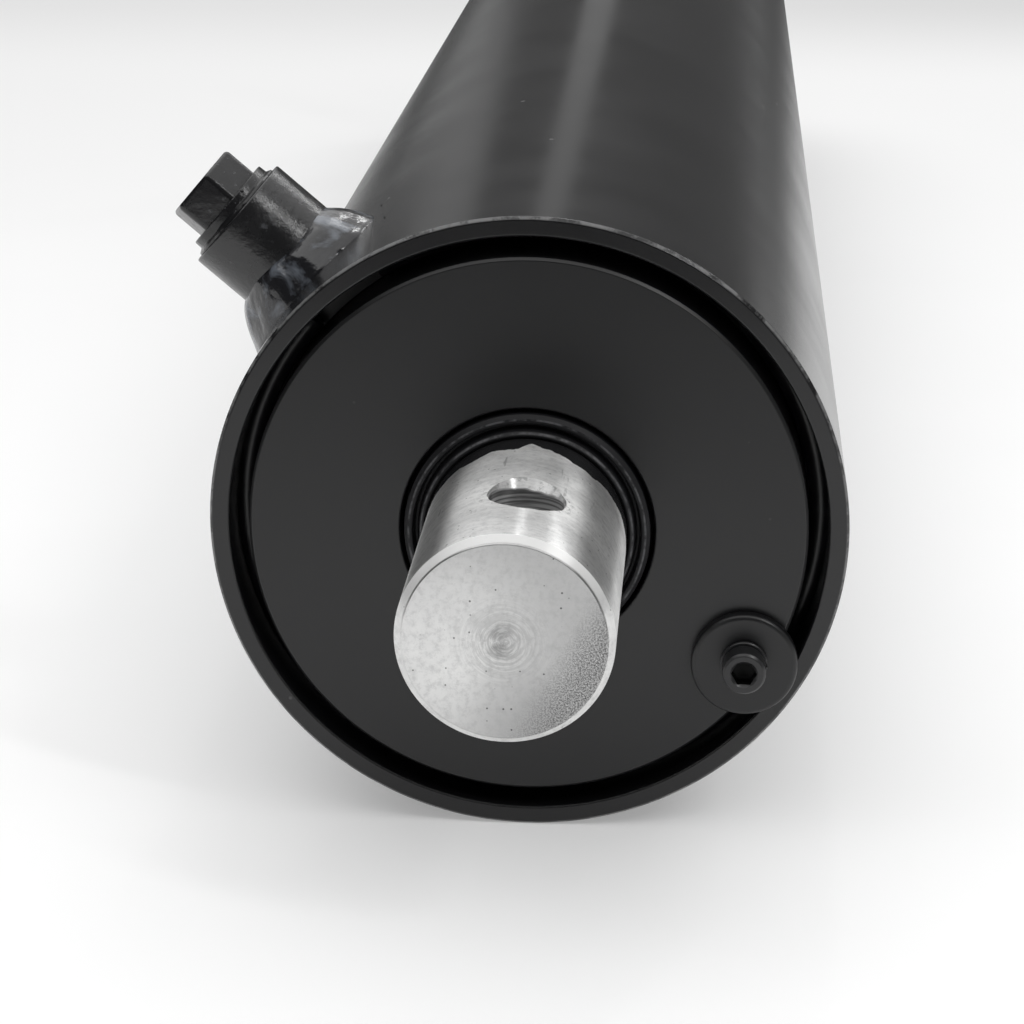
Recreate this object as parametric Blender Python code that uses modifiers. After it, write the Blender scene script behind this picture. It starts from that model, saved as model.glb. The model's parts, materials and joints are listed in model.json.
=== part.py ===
"""A double-acting hydraulic cylinder lying on its barrel with the rod fully in.

Units are metres and +Z is up. The rod points along -Y, and the origin is the centre of its end face.
Every piece hangs from an empty on its own axis: the pieces turned about the cylinder's axis use an empty
whose local Z runs along world +Y, so their outlines are lists of (radius, distance from the rod's end)."""

import math

import bmesh
import bpy
from mathutils import Matrix

MM = 0.001
GAP = 0.3 * MM

# Driving dimensions: a 4 in tube, a 3 1/2 in bore, a 1 1/4 in rod and an 18 in stroke.
TUBE_RADIUS = 50.8 * MM
BORE_RADIUS = 44.45 * MM
ROD_RADIUS = 15.875 * MM
STROKE = 457.2 * MM

# Places along the axis, measured from the rod's end face.
RIM = 48.2 * MM
GLAND_BACK = RIM + 28.0 * MM
PISTON_FRONT = GLAND_BACK + STROKE + 1.0 * MM
PISTON_LENGTH = 32.0 * MM
PISTON_BACK = PISTON_FRONT + PISTON_LENGTH
NUT_LENGTH = 18.0 * MM
ROD_BACK = PISTON_BACK + NUT_LENGTH + 2.0 * MM
CAP_FRONT = ROD_BACK + 1.0 * MM
CAP_SEAM = CAP_FRONT + 8.0 * MM
CAP_BACK = CAP_SEAM + 14.0 * MM

# The tube's open end, which is bored out for the gland, and the groove for the round wire ring.
RELIEF_RADIUS = 47.6 * MM
RELIEF_DEPTH = 24.5 * MM
RING_WIRE_RADIUS = 1.9 * MM
RING_CENTRE_RADIUS = 46.6 * MM
RING_DEPTH = 11.9 * MM
RING_GROOVE_RADIUS = 48.9 * MM
RING_GAP_START = math.radians(122)
RING_GAP_END = math.radians(138)

# The gland: a nose inside the rim, a flange that pushes on the ring, and a pilot in the bore.
NOSE_RADIUS = 44.4 * MM
FLANGE_RADIUS = RELIEF_RADIUS - GAP
PILOT_RADIUS = BORE_RADIUS - GAP
FLANGE_FRONT = RIM + 14.1 * MM
FLANGE_BACK = RIM + RELIEF_DEPTH - GAP
ROD_CLEARANCE_RADIUS = 16.3 * MM
SLIDING_RADIUS = ROD_RADIUS + 0.1 * MM
WIPER_SEAT_RADIUS = 20.2 * MM
WIPER_SEAT_DEPTH = 8.5 * MM

# The clip that stops the gland from being knocked inwards: a washer and a cap screw on the gland's face.
WASHER_X, WASHER_Z = 34.8 * MM, -20.9 * MM
WASHER_RADIUS = 8.5 * MM
WASHER_FRONT = RIM - 2.4 * MM
SCREW_X, SCREW_Z = 34.7 * MM, -20.25 * MM
SCREW_SHANK_RADIUS = 2.05 * MM
SCREW_HEAD_RADIUS = 3.45 * MM
SCREW_HEAD_FRONT = RIM - 7.8 * MM
SCREW_TIP = RIM + 9.0 * MM
SOCKET_ACROSS_CORNERS = 4.12 * MM

# The ports: a round boss welded on the tube, at 139.4 degrees from +X towards +Z, closed by a hex plug.
PORT_ANGLE = math.radians(139.4)
ROD_PORT = RIM + 32.9 * MM
BASE_PORT = RIM + 528.0 * MM
BOSS_RADIUS = 10.24 * MM
BOSS_FOOT = 44.0 * MM
BOSS_TOP = 66.4 * MM
PORT_HOLE_RADIUS = 4.5 * MM
PORT_THREAD_RADIUS = 5.5 * MM
PORT_THREAD_DEPTH = 12.4 * MM
PLUG_COLLAR_RADIUS = 8.3 * MM
PLUG_COLLAR_HEIGHT = 1.9 * MM
PLUG_LENGTH = 11.8 * MM
HEX_CORNER_RADIUS = 7.25 * MM
HEX_TOP = 74.4 * MM
PLUG_TURN = math.radians(-3)
PORT_MOUTH_RADIUS = PLUG_COLLAR_RADIUS + GAP
PORT_MOUTH_DEPTH = 3.2 * MM
PORT_SEAL_CENTRE = 6.35 * MM
PORT_SEAL_WIRE = 0.7 * MM
PORT_WELD_FOOT = 6.6 * MM

# The rod's cross hole, which leans 7.2 degrees from upright.
CROSS_HOLE_RADIUS = 5.56 * MM
CROSS_HOLE_PLACE = 20.2 * MM
CROSS_HOLE_LEAN = math.radians(7.2)
COUNTERSINK = 1.5 * MM
ROD_CHAMFER = 1.2 * MM
SPIGOT_RADIUS = 12.0 * MM

# The base mount: a cross tube let into the cap's back face.
CROSS_TUBE_RADIUS = 22.225 * MM
CROSS_TUBE_BORE = 12.7 * MM
CROSS_TUBE_LENGTH = 88.9 * MM
CROSS_TUBE_PLACE = CAP_BACK - 4.0 * MM + CROSS_TUBE_RADIUS

TUBE_SEGMENTS = 64
SEGMENTS = 48
SMALL_SEGMENTS = 24

BLACK_PAINT = ((0.018, 0.018, 0.020), 0.35, 0.0)
WELD_PAINT = ((0.030, 0.033, 0.037), 0.25, 0.1)
BARE_STEEL = ((0.55, 0.55, 0.54), 0.32, 1.0)
OILED_STEEL = ((0.32, 0.32, 0.33), 0.4, 1.0)
CAST_IRON = ((0.16, 0.16, 0.17), 0.55, 0.9)
RUBBER = ((0.012, 0.012, 0.012), 0.6, 0.0)
POLYURETHANE = ((0.02, 0.02, 0.022), 0.45, 0.0)
NYLON = ((0.24, 0.06, 0.04), 0.5, 0.0)


def clear_scene():
    for obj in list(bpy.data.objects):
        bpy.data.objects.remove(obj, do_unlink=True)


def new_collection(name):
    found = bpy.data.collections.new(name)
    bpy.context.scene.collection.children.link(found)
    return found


clear_scene()
PARTS = new_collection("hydraulic_cylinder")
CUTTERS = new_collection("cutters")


def new_axis(name, location, rotation):
    """An empty whose local Z is the axis that its pieces are turned about."""
    axis = bpy.data.objects.new(name, None)
    axis.location = location
    axis.rotation_euler = rotation
    PARTS.objects.link(axis)
    return axis


def new_object(name, mesh, parent, collection):
    obj = bpy.data.objects.new(name, mesh)
    obj.parent = parent
    collection.objects.link(obj)
    return obj


def colour(obj, look):
    base, roughness, metallic = look
    material = bpy.data.materials.new(obj.name)
    material.use_nodes = True
    shader = material.node_tree.nodes["Principled BSDF"]
    shader.inputs["Base Color"].default_value = (*base, 1.0)
    shader.inputs["Roughness"].default_value = roughness
    shader.inputs["Metallic"].default_value = metallic
    obj.data.materials.append(material)


def turned(name, outline, parent, look=None, segments=SEGMENTS, ring=True):
    """A turned solid. The outline runs back along the outside and, on a ring, forward along the bore."""
    points = [(radius, 0.0, place) for radius, place in reversed(outline)]
    edges = [(i, i + 1) for i in range(len(points) - 1)]
    if ring:
        edges.append((len(points) - 1, 0))
    mesh = bpy.data.meshes.new(name)
    mesh.from_pydata(points, edges, [])
    obj = new_object(name, mesh, parent, PARTS if look else CUTTERS)
    screw = obj.modifiers.new("turn", "SCREW")
    screw.axis = "Z"
    screw.angle = math.tau
    screw.steps = segments
    screw.render_steps = segments
    screw.use_merge_vertices = True
    screw.merge_threshold = 0.00001
    if look:
        colour(obj, look)
    return obj


def rod_shape(name, radius, start, end, parent, look=None, sides=SMALL_SEGMENTS):
    """A round or hexagonal bar from start to end along its parent's Z, with one corner on its parent's X."""
    body = bmesh.new()
    depth = end - start
    bmesh.ops.create_cone(
        body, cap_ends=True, segments=sides, radius1=radius, radius2=radius, depth=depth
    )
    # The primitive's first corner is on Y.
    quarter = Matrix.Rotation(math.radians(-90), 3, "Z")
    bmesh.ops.rotate(body, verts=body.verts, cent=(0, 0, 0), matrix=quarter)
    bmesh.ops.translate(body, verts=body.verts, vec=(0, 0, (start + end) / 2))
    mesh = bpy.data.meshes.new(name)
    body.to_mesh(mesh)
    body.free()
    obj = new_object(name, mesh, parent, PARTS if look else CUTTERS)
    if look:
        colour(obj, look)
    return obj


def combine(obj, other, operation):
    """Cuts the other object from this one, or joins it on, and keeps the other only as a hidden helper."""
    other.hide_render = True
    other.display_type = "WIRE"
    step = obj.modifiers.new(f"{operation.lower()}_{other.name}", "BOOLEAN")
    step.operation = operation
    step.solver = "EXACT"
    step.object = other


def cut(obj, *cutters):
    for cutter in cutters:
        combine(obj, cutter, "DIFFERENCE")


def bake(obj):
    """Turns the object's modifiers into its mesh, shaded smooth except at its real edges."""
    graph = bpy.context.evaluated_depsgraph_get()
    mesh = bpy.data.meshes.new_from_object(obj.evaluated_get(graph))
    obj.modifiers.clear()
    obj.data = mesh
    mesh.shade_smooth()
    mesh.set_sharp_from_angle(angle=math.radians(32))


def half_step(segments):
    """Turns a faceted round piece so that one of its flats, not an edge, faces the floor."""
    return (math.radians(-90), math.pi / segments, 0)


TUBE_AXIS = new_axis("tube_axis", (0, 0, 0), half_step(TUBE_SEGMENTS))
BARREL_AXIS = new_axis("barrel_axis", (0, 0, 0), half_step(SEGMENTS))
ROD_AXIS = new_axis("rod_axis", (0, 0, 0), half_step(SEGMENTS))
PLAIN_AXIS = new_axis("plain_axis", (0, 0, 0), (math.radians(-90), 0, 0))


def port_axis(name, place):
    return new_axis(name, (0, place, 0), (0, math.pi / 2 - PORT_ANGLE, 0))


def make_tube(ports):
    chamfer = 3.5 * MM
    edge = 0.5 * MM
    groove_front = RIM + RING_DEPTH - 2.3 * MM
    groove_back = RIM + RING_DEPTH + 2.3 * MM
    slope = 0.8 * MM
    outline = [
        (TUBE_RADIUS - edge, RIM),
        (TUBE_RADIUS, RIM + edge),
        (TUBE_RADIUS, CAP_SEAM - GAP - chamfer),
        (TUBE_RADIUS - chamfer, CAP_SEAM - GAP),
        (BORE_RADIUS, CAP_SEAM - GAP),
        (BORE_RADIUS, RIM + RELIEF_DEPTH),
        (RELIEF_RADIUS, RIM + RELIEF_DEPTH),
        (RELIEF_RADIUS, groove_back),
        (RING_GROOVE_RADIUS, groove_back - slope),
        (RING_GROOVE_RADIUS, groove_front + slope),
        (RELIEF_RADIUS, groove_front),
        (RELIEF_RADIUS, RIM + GAP),
        (RELIEF_RADIUS + GAP, RIM),
    ]
    tube = turned("barrel_tube", outline, TUBE_AXIS, BLACK_PAINT, TUBE_SEGMENTS)
    for number, axis in enumerate(ports):
        cut(tube, rod_shape(f"port_drill_{number}", PORT_HOLE_RADIUS, 40 * MM, 56 * MM, axis))
    return tube


def make_base_cap(cross_axis):
    chamfer = 3.5 * MM
    outline = [
        (0, CAP_FRONT),
        (PILOT_RADIUS - 1.0 * MM, CAP_FRONT),
        (PILOT_RADIUS, CAP_FRONT + 1.0 * MM),
        (PILOT_RADIUS, CAP_SEAM),
        (TUBE_RADIUS - chamfer, CAP_SEAM),
        (TUBE_RADIUS, CAP_SEAM + chamfer),
        (TUBE_RADIUS, CAP_BACK - 1.0 * MM),
        (TUBE_RADIUS - 1.0 * MM, CAP_BACK),
        (0, CAP_BACK),
    ]
    cap = turned("base_cap", outline, BARREL_AXIS, BLACK_PAINT, ring=False)
    reach = TUBE_RADIUS + 5 * MM
    saddle = rod_shape("saddle_cut", CROSS_TUBE_RADIUS + GAP, -reach, reach, cross_axis, sides=SEGMENTS)
    cut(cap, saddle)
    return cap


def make_cap_weld():
    """The bead that fills the V between the tube's end and the cap, a little under flush."""
    chamfer = 3.5 * MM
    crown = TUBE_RADIUS - 0.2 * MM
    side_gap = GAP * math.sqrt(2)
    middle = CAP_SEAM - GAP / 2
    half_width = GAP / 2 + chamfer - side_gap - 0.2 * MM
    root = crown - half_width
    outline = [(crown, middle - half_width), (crown, middle + half_width), (root, middle)]
    return turned("base_cap_weld", outline, BARREL_AXIS, WELD_PAINT)


def make_cross_tube(cross_axis):
    half = CROSS_TUBE_LENGTH / 2
    edge = 0.8 * MM
    outline = [
        (CROSS_TUBE_RADIUS - edge, -half),
        (CROSS_TUBE_RADIUS, edge - half),
        (CROSS_TUBE_RADIUS, half - edge),
        (CROSS_TUBE_RADIUS - edge, half),
        (CROSS_TUBE_BORE, half),
        (CROSS_TUBE_BORE, -half),
    ]
    return turned("cross_tube", outline, cross_axis, BLACK_PAINT)


def make_cross_tube_weld(name, side, cross_axis):
    """A fillet along the cross tube where it meets the cap's back face; side is 1 above and -1 below."""
    half_length = 41 * MM
    toe, throat, reach = 23.5 * MM, 20.0 * MM, 9.5 * MM
    face = CAP_BACK + GAP
    section = [
        (face, 10 * MM * side),
        (face, toe * side),
        (face + reach, throat * side),
        (face + reach, 10 * MM * side),
    ]
    curve = bpy.data.curves.new(name, "CURVE")
    curve.dimensions = "2D"
    curve.fill_mode = "BOTH"
    curve.extrude = half_length
    spline = curve.splines.new("POLY")
    spline.points.add(len(section) - 1)
    for point, (place, height) in zip(spline.points, section):
        point.co = (place, height, 0, 1)
    spline.use_cyclic_u = True
    flat = bpy.data.objects.new(f"{name}_outline", curve)
    # The outline's X runs along world Y and its Y up, so its thickness runs along world X.
    flat.rotation_euler = (math.radians(90), 0, math.radians(90))
    PARTS.objects.link(flat)
    bpy.context.view_layer.update()
    mesh = bpy.data.meshes.new_from_object(flat.evaluated_get(bpy.context.evaluated_depsgraph_get()))
    body = bmesh.new()
    body.from_mesh(mesh)
    bmesh.ops.remove_doubles(body, verts=body.verts, dist=0.00001)
    body.to_mesh(mesh)
    body.free()
    weld = bpy.data.objects.new(name, mesh)
    weld.matrix_world = flat.matrix_world
    bpy.data.objects.remove(flat)
    PARTS.objects.link(weld)
    colour(weld, WELD_PAINT)
    reach = CROSS_TUBE_LENGTH / 2
    cut(weld, rod_shape(f"{name}_cut", CROSS_TUBE_RADIUS + GAP, -reach, reach, cross_axis, sides=SEGMENTS))
    return weld


def make_port(name, axis):
    """A boss, its weld, its O-ring and its plug, all turned about the port's axis."""
    barrel_cut = rod_shape(
        f"{name}_saddle_cut",
        TUBE_RADIUS + GAP,
        axis.location.y - 30 * MM,
        axis.location.y + 30 * MM,
        TUBE_AXIS,
        sides=TUBE_SEGMENTS,
    )
    edge = 0.5 * MM
    boss_outline = [
        (BOSS_RADIUS, BOSS_FOOT),
        (BOSS_RADIUS, BOSS_TOP - edge),
        (BOSS_RADIUS - edge, BOSS_TOP),
        (PORT_MOUTH_RADIUS, BOSS_TOP),
        (PORT_THREAD_RADIUS, BOSS_TOP - PORT_MOUTH_DEPTH),
        (PORT_THREAD_RADIUS, BOSS_TOP - PORT_THREAD_DEPTH),
        (PORT_HOLE_RADIUS, BOSS_TOP - PORT_THREAD_DEPTH),
        (PORT_HOLE_RADIUS, BOSS_FOOT),
    ]
    boss = turned(f"{name}_boss", boss_outline, axis, BLACK_PAINT, SMALL_SEGMENTS)
    cut(boss, barrel_cut)

    inner = BOSS_RADIUS + GAP
    weld_outline = [
        (inner + PORT_WELD_FOOT, BOSS_FOOT),
        (inner + 4.6 * MM, BOSS_FOOT + 5.4 * MM),
        (inner + 2.2 * MM, BOSS_FOOT + 8.6 * MM),
        (inner, BOSS_FOOT + 11.0 * MM),
        (inner, BOSS_FOOT),
    ]
    weld = turned(f"{name}_weld", weld_outline, axis, WELD_PAINT, SMALL_SEGMENTS)
    cut(weld, barrel_cut)

    seal_section = round_section(PORT_SEAL_CENTRE, BOSS_TOP - 0.65 * MM, PORT_SEAL_WIRE, 6)
    seal = turned(f"{name}_seal", seal_section, axis, RUBBER, SMALL_SEGMENTS)

    collar = BOSS_TOP + GAP
    hex_foot = collar + PLUG_COLLAR_HEIGHT
    shank = PORT_THREAD_RADIUS - GAP
    tip = BOSS_TOP - PLUG_LENGTH
    tip_edge = 0.8 * MM
    collar_edge = 0.3 * MM
    plug_outline = [
        (0, tip),
        (shank - tip_edge, tip),
        (shank, tip + tip_edge),
        (shank, collar),
        (PLUG_COLLAR_RADIUS, collar),
        (PLUG_COLLAR_RADIUS, hex_foot - collar_edge),
        (PLUG_COLLAR_RADIUS - collar_edge, hex_foot),
        (0, hex_foot),
    ]
    plug = turned(f"{name}_plug", plug_outline, axis, BLACK_PAINT, SMALL_SEGMENTS, ring=False)
    head = rod_shape(f"{name}_plug_hex", HEX_CORNER_RADIUS, hex_foot - 1 * MM, HEX_TOP, axis, sides=6)
    head.rotation_euler = (0, 0, PLUG_TURN)
    combine(plug, head, "UNION")
    return [boss, weld, seal, plug]


def round_section(centre_radius, place, wire_radius, sides):
    """The outline of a round ring's section, in the order that turned() takes."""
    return [
        (
            centre_radius + wire_radius * math.sin(math.tau * (i + 0.5) / sides),
            place - wire_radius * math.cos(math.tau * (i + 0.5) / sides),
        )
        for i in range(sides)
    ]


def make_gland(screw_axis):
    groove_front, groove_back, groove_floor = RIM + 16.5 * MM, RIM + 22.3 * MM, 43.9 * MM
    wear_front, wear_back, wear_floor = RIM + 19.5 * MM, RIM + 25.5 * MM, 18.3 * MM
    seal_front, seal_back, seal_floor = RIM + 11.5 * MM, RIM + 17.5 * MM, 20.6 * MM
    edge = 0.5 * MM
    outline = [
        (NOSE_RADIUS - edge, RIM),
        (NOSE_RADIUS, RIM + edge),
        (NOSE_RADIUS, FLANGE_FRONT),
        (FLANGE_RADIUS, FLANGE_FRONT),
        (FLANGE_RADIUS, groove_front),
        (groove_floor, groove_front),
        (groove_floor, groove_back),
        (FLANGE_RADIUS, groove_back),
        (FLANGE_RADIUS, FLANGE_BACK),
        (PILOT_RADIUS, FLANGE_BACK),
        (PILOT_RADIUS, GLAND_BACK),
        (ROD_CLEARANCE_RADIUS, GLAND_BACK),
        (ROD_CLEARANCE_RADIUS, wear_back),
        (wear_floor, wear_back),
        (wear_floor, wear_front),
        (ROD_CLEARANCE_RADIUS, wear_front),
        (ROD_CLEARANCE_RADIUS, seal_back),
        (seal_floor, seal_back),
        (seal_floor, seal_front),
        (ROD_CLEARANCE_RADIUS, seal_front),
        (ROD_CLEARANCE_RADIUS, RIM + WIPER_SEAT_DEPTH),
        (WIPER_SEAT_RADIUS, RIM + WIPER_SEAT_DEPTH),
        (WIPER_SEAT_RADIUS, RIM),
    ]
    gland = turned("gland", outline, BARREL_AXIS, BLACK_PAINT)
    tapped = rod_shape("screw_drill", SCREW_SHANK_RADIUS + GAP, RIM - MM, SCREW_TIP + MM, screw_axis)
    cut(gland, tapped)
    o_ring = turned(
        "gland_o_ring", round_section(45.65 * MM, groove_front + 1.95 * MM, 1.6 * MM, 6), BARREL_AXIS, RUBBER
    )
    backup = turned(
        "gland_backup_ring",
        ring_outline(groove_floor + GAP, FLANGE_RADIUS, groove_back - 2.0 * MM, groove_back - GAP),
        BARREL_AXIS,
        NYLON,
    )
    wear_ring = turned(
        "rod_wear_ring",
        ring_outline(SLIDING_RADIUS, wear_floor - GAP, wear_front + GAP, wear_back - GAP),
        BARREL_AXIS,
        NYLON,
    )
    lip_outline = [
        (seal_floor - GAP, seal_front + GAP),
        (seal_floor - GAP, seal_back - GAP),
        (19.2 * MM, seal_back - GAP),
        (18.2 * MM, seal_back - 3.2 * MM),
        (17.2 * MM, seal_back - GAP),
        (SLIDING_RADIUS, seal_back - GAP),
        (SLIDING_RADIUS, seal_front + GAP),
    ]
    rod_seal = turned("rod_seal", lip_outline, BARREL_AXIS, POLYURETHANE)
    return [gland, o_ring, backup, wear_ring, rod_seal]


def ring_outline(inner, outer, front, back):
    return [(outer, front), (outer, back), (inner, back), (inner, front)]


def make_wiper():
    """A snap-in wiper: a flat outer band, a groove, and a lip that leans forward on the rod."""
    seat = RIM + WIPER_SEAT_DEPTH - GAP
    outline = [
        (18.1 * MM, RIM - 1.1 * MM),
        (18.9 * MM, RIM - 1.1 * MM),
        (19.5 * MM, RIM - 0.4 * MM),
        (19.5 * MM, RIM + 3.0 * MM),
        (WIPER_SEAT_RADIUS - GAP, RIM + 3.6 * MM),
        (WIPER_SEAT_RADIUS - GAP, seat),
        (16.9 * MM, seat),
        (16.9 * MM, RIM + 2.5 * MM),
        (SLIDING_RADIUS, RIM - 0.6 * MM),
        (SLIDING_RADIUS, RIM - 1.6 * MM),
        (16.4 * MM, RIM - 2.0 * MM),
        (17.0 * MM, RIM - 1.4 * MM),
        (17.3 * MM, RIM + 0.8 * MM),
        (17.9 * MM, RIM + 0.8 * MM),
    ]
    return turned("rod_wiper", outline, BARREL_AXIS, RUBBER)


def make_retaining_ring():
    """A round wire, open at its upper left, held half in the tube's groove."""
    spans = 46
    sweep = math.tau - (RING_GAP_END - RING_GAP_START)
    curve = bpy.data.curves.new("retaining_ring", "CURVE")
    curve.dimensions = "3D"
    curve.bevel_depth = RING_WIRE_RADIUS
    curve.bevel_resolution = 2
    curve.use_fill_caps = True
    spline = curve.splines.new("POLY")
    spline.points.add(spans)
    for number, point in enumerate(spline.points):
        # Angles are measured in world terms, from +X towards +Z, and local Y is world -Z.
        angle = RING_GAP_END + sweep * number / spans
        x = RING_CENTRE_RADIUS * math.cos(angle)
        y = -RING_CENTRE_RADIUS * math.sin(angle)
        point.co = (x, y, RIM + RING_DEPTH, 1)
    ring = new_object("retaining_ring", curve, PLAIN_AXIS, PARTS)
    colour(ring, BLACK_PAINT)
    return ring


def make_gland_clip(screw_axis, washer_axis):
    hole = SCREW_SHANK_RADIUS + GAP + 0.7 * MM
    washer = turned(
        "retaining_washer",
        ring_outline(hole, WASHER_RADIUS, WASHER_FRONT, RIM - GAP),
        washer_axis,
        BLACK_PAINT,
        SMALL_SEGMENTS + 8,
    )
    spring_front = WASHER_FRONT - GAP - 1.0 * MM
    spring = turned(
        "lock_washer",
        ring_outline(SCREW_SHANK_RADIUS + GAP, 3.75 * MM, spring_front, WASHER_FRONT - GAP),
        screw_axis,
        BLACK_PAINT,
        SMALL_SEGMENTS,
    )
    split = rod_shape("split_cut", 0.5 * MM, spring_front - MM, WASHER_FRONT + MM, screw_axis, sides=4)
    split.location = (3.1 * MM, 0, 0)
    split.scale = (2.2, 0.6, 1)
    cut(spring, split)

    head_back = spring_front - GAP
    edge = 0.4 * MM
    outline = [
        (0, SCREW_HEAD_FRONT),
        (SCREW_HEAD_RADIUS - edge, SCREW_HEAD_FRONT),
        (SCREW_HEAD_RADIUS, SCREW_HEAD_FRONT + edge),
        (SCREW_HEAD_RADIUS, head_back),
        (SCREW_SHANK_RADIUS, head_back),
        (SCREW_SHANK_RADIUS, SCREW_TIP - edge),
        (SCREW_SHANK_RADIUS - edge, SCREW_TIP),
        (0, SCREW_TIP),
    ]
    screw = turned("lock_screw", outline, screw_axis, BLACK_PAINT, SMALL_SEGMENTS, ring=False)
    corner = SOCKET_ACROSS_CORNERS / 2
    floor = SCREW_HEAD_FRONT + 2.2 * MM
    socket = rod_shape("socket_cut", corner, SCREW_HEAD_FRONT - MM, floor, screw_axis, sides=6)
    cut(screw, socket)
    return [washer, spring, screw]


def make_rod(hole_axis):
    outline = [
        (0, 0),
        (ROD_RADIUS - ROD_CHAMFER, 0),
        (ROD_RADIUS, ROD_CHAMFER),
        (ROD_RADIUS, PISTON_FRONT - GAP),
        (SPIGOT_RADIUS, PISTON_FRONT - GAP),
        (SPIGOT_RADIUS, ROD_BACK - MM),
        (SPIGOT_RADIUS - MM, ROD_BACK),
        (0, ROD_BACK),
    ]
    rod = turned("rod", outline, ROD_AXIS, BARE_STEEL, ring=False)
    # One cutter, turned about the hole: wide outside the rod, narrowing at 45 degrees to the hole.
    reach, throat = ROD_RADIUS + 3 * MM, ROD_RADIUS - COUNTERSINK
    wide = CROSS_HOLE_RADIUS + reach - throat
    drill_outline = [
        (0, -reach),
        (wide, -reach),
        (CROSS_HOLE_RADIUS, -throat),
        (CROSS_HOLE_RADIUS, throat),
        (wide, reach),
        (0, reach),
    ]
    cut(rod, turned("cross_drill", drill_outline, hole_axis, segments=SMALL_SEGMENTS, ring=False))
    return rod


def make_piston():
    """The piston with its three outer grooves, and the O-ring that seals it to the rod's spigot."""
    body = BORE_RADIUS - 0.45 * MM
    wear_width, seal_width = 6.0 * MM, 7.0 * MM
    wear_floor, seal_floor = 42.0 * MM, 38.3 * MM
    fronts = [PISTON_FRONT + 3 * MM, PISTON_FRONT + 12.5 * MM, PISTON_BACK - 3 * MM - wear_width]
    widths = [wear_width, seal_width, wear_width]
    floors = [wear_floor, seal_floor, wear_floor]
    outline = [(body, PISTON_FRONT)]
    for front, width, floor in zip(fronts, widths, floors):
        outline += [(body, front), (floor, front), (floor, front + width), (body, front + width)]
    hole = SPIGOT_RADIUS + GAP
    static_floor = 14.6 * MM
    static_front = PISTON_FRONT + 14 * MM
    static_back = static_front + 3.4 * MM
    outline += [
        (body, PISTON_BACK),
        (hole, PISTON_BACK),
        (hole, static_back),
        (static_floor, static_back),
        (static_floor, static_front),
        (hole, static_front),
        (hole, PISTON_FRONT),
    ]
    piston = turned("piston", outline, ROD_AXIS, CAST_IRON)
    static_ring = turned(
        "piston_o_ring",
        round_section(13.45 * MM, (static_front + static_back) / 2, 0.85 * MM, 6),
        ROD_AXIS,
        RUBBER,
        SMALL_SEGMENTS,
    )
    touch = BORE_RADIUS - 0.1 * MM
    rings = []
    for name, number in (("piston_wear_ring_front", 0), ("piston_wear_ring_rear", 2)):
        front = fronts[number] + GAP
        back = fronts[number] + wear_width - GAP
        rings.append(turned(name, ring_outline(wear_floor + GAP, touch, front, back), ROD_AXIS, NYLON))
    front, back = fronts[1] + GAP, fronts[1] + seal_width - GAP
    split_radius = 41.6 * MM
    cap_seal = ring_outline(split_radius + GAP, touch, front, back)
    energizer = ring_outline(seal_floor + GAP, split_radius, front, back)
    rings.append(turned("piston_seal", cap_seal, ROD_AXIS, POLYURETHANE))
    rings.append(turned("piston_energizer", energizer, ROD_AXIS, RUBBER))
    return [piston, static_ring, *rings]


def make_piston_nut():
    across_flats = 38.1 * MM
    corner = across_flats / math.sqrt(3)
    front, back = PISTON_BACK + GAP, PISTON_BACK + NUT_LENGTH
    nut = rod_shape("piston_nut", corner, front, back, ROD_AXIS, OILED_STEEL, sides=6)
    bore = rod_shape("nut_bore", SPIGOT_RADIUS + GAP, front - MM, back + MM, ROD_AXIS, sides=SEGMENTS)
    cut(nut, bore)
    return nut


def side_axis(name, x, z):
    """An axis parallel to the cylinder's, through a point of the gland's face."""
    return new_axis(name, (x, 0, z), (math.radians(-90), 0, 0))


def make_cylinder():
    cross_axis = new_axis("cross_tube_axis", (0, CROSS_TUBE_PLACE, 0), (0, math.radians(90), 0))
    hole_axis = new_axis("cross_hole_axis", (0, CROSS_HOLE_PLACE, 0), (0, CROSS_HOLE_LEAN, 0))
    rod_port = port_axis("rod_port_axis", ROD_PORT)
    base_port = port_axis("base_port_axis", BASE_PORT)
    screw_axis = side_axis("screw_axis", SCREW_X, SCREW_Z)
    washer_axis = side_axis("washer_axis", WASHER_X, WASHER_Z)
    pieces = [
        make_tube((rod_port, base_port)),
        make_base_cap(cross_axis),
        make_cap_weld(),
        make_cross_tube(cross_axis),
        make_cross_tube_weld("cross_tube_weld_top", 1, cross_axis),
        make_cross_tube_weld("cross_tube_weld_bottom", -1, cross_axis),
        *make_port("rod_port", rod_port),
        *make_port("base_port", base_port),
        *make_gland(screw_axis),
        make_wiper(),
        *make_gland_clip(screw_axis, washer_axis),
        make_rod(hole_axis),
        *make_piston(),
        make_piston_nut(),
    ]
    make_retaining_ring()
    bpy.context.view_layer.update()
    for piece in pieces:
        bake(piece)


make_cylinder()
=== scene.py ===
"""The looks of a double-acting hydraulic cylinder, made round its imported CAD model.

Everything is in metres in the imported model's frame: the rod points along -Y, +Z is up, and the origin is the
centre of the rod's end face. Turned pieces are outlines of (radius, place along the axis)."""

import json
import math

import bmesh
import bpy
from mathutils import Matrix, Vector, noise


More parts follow.
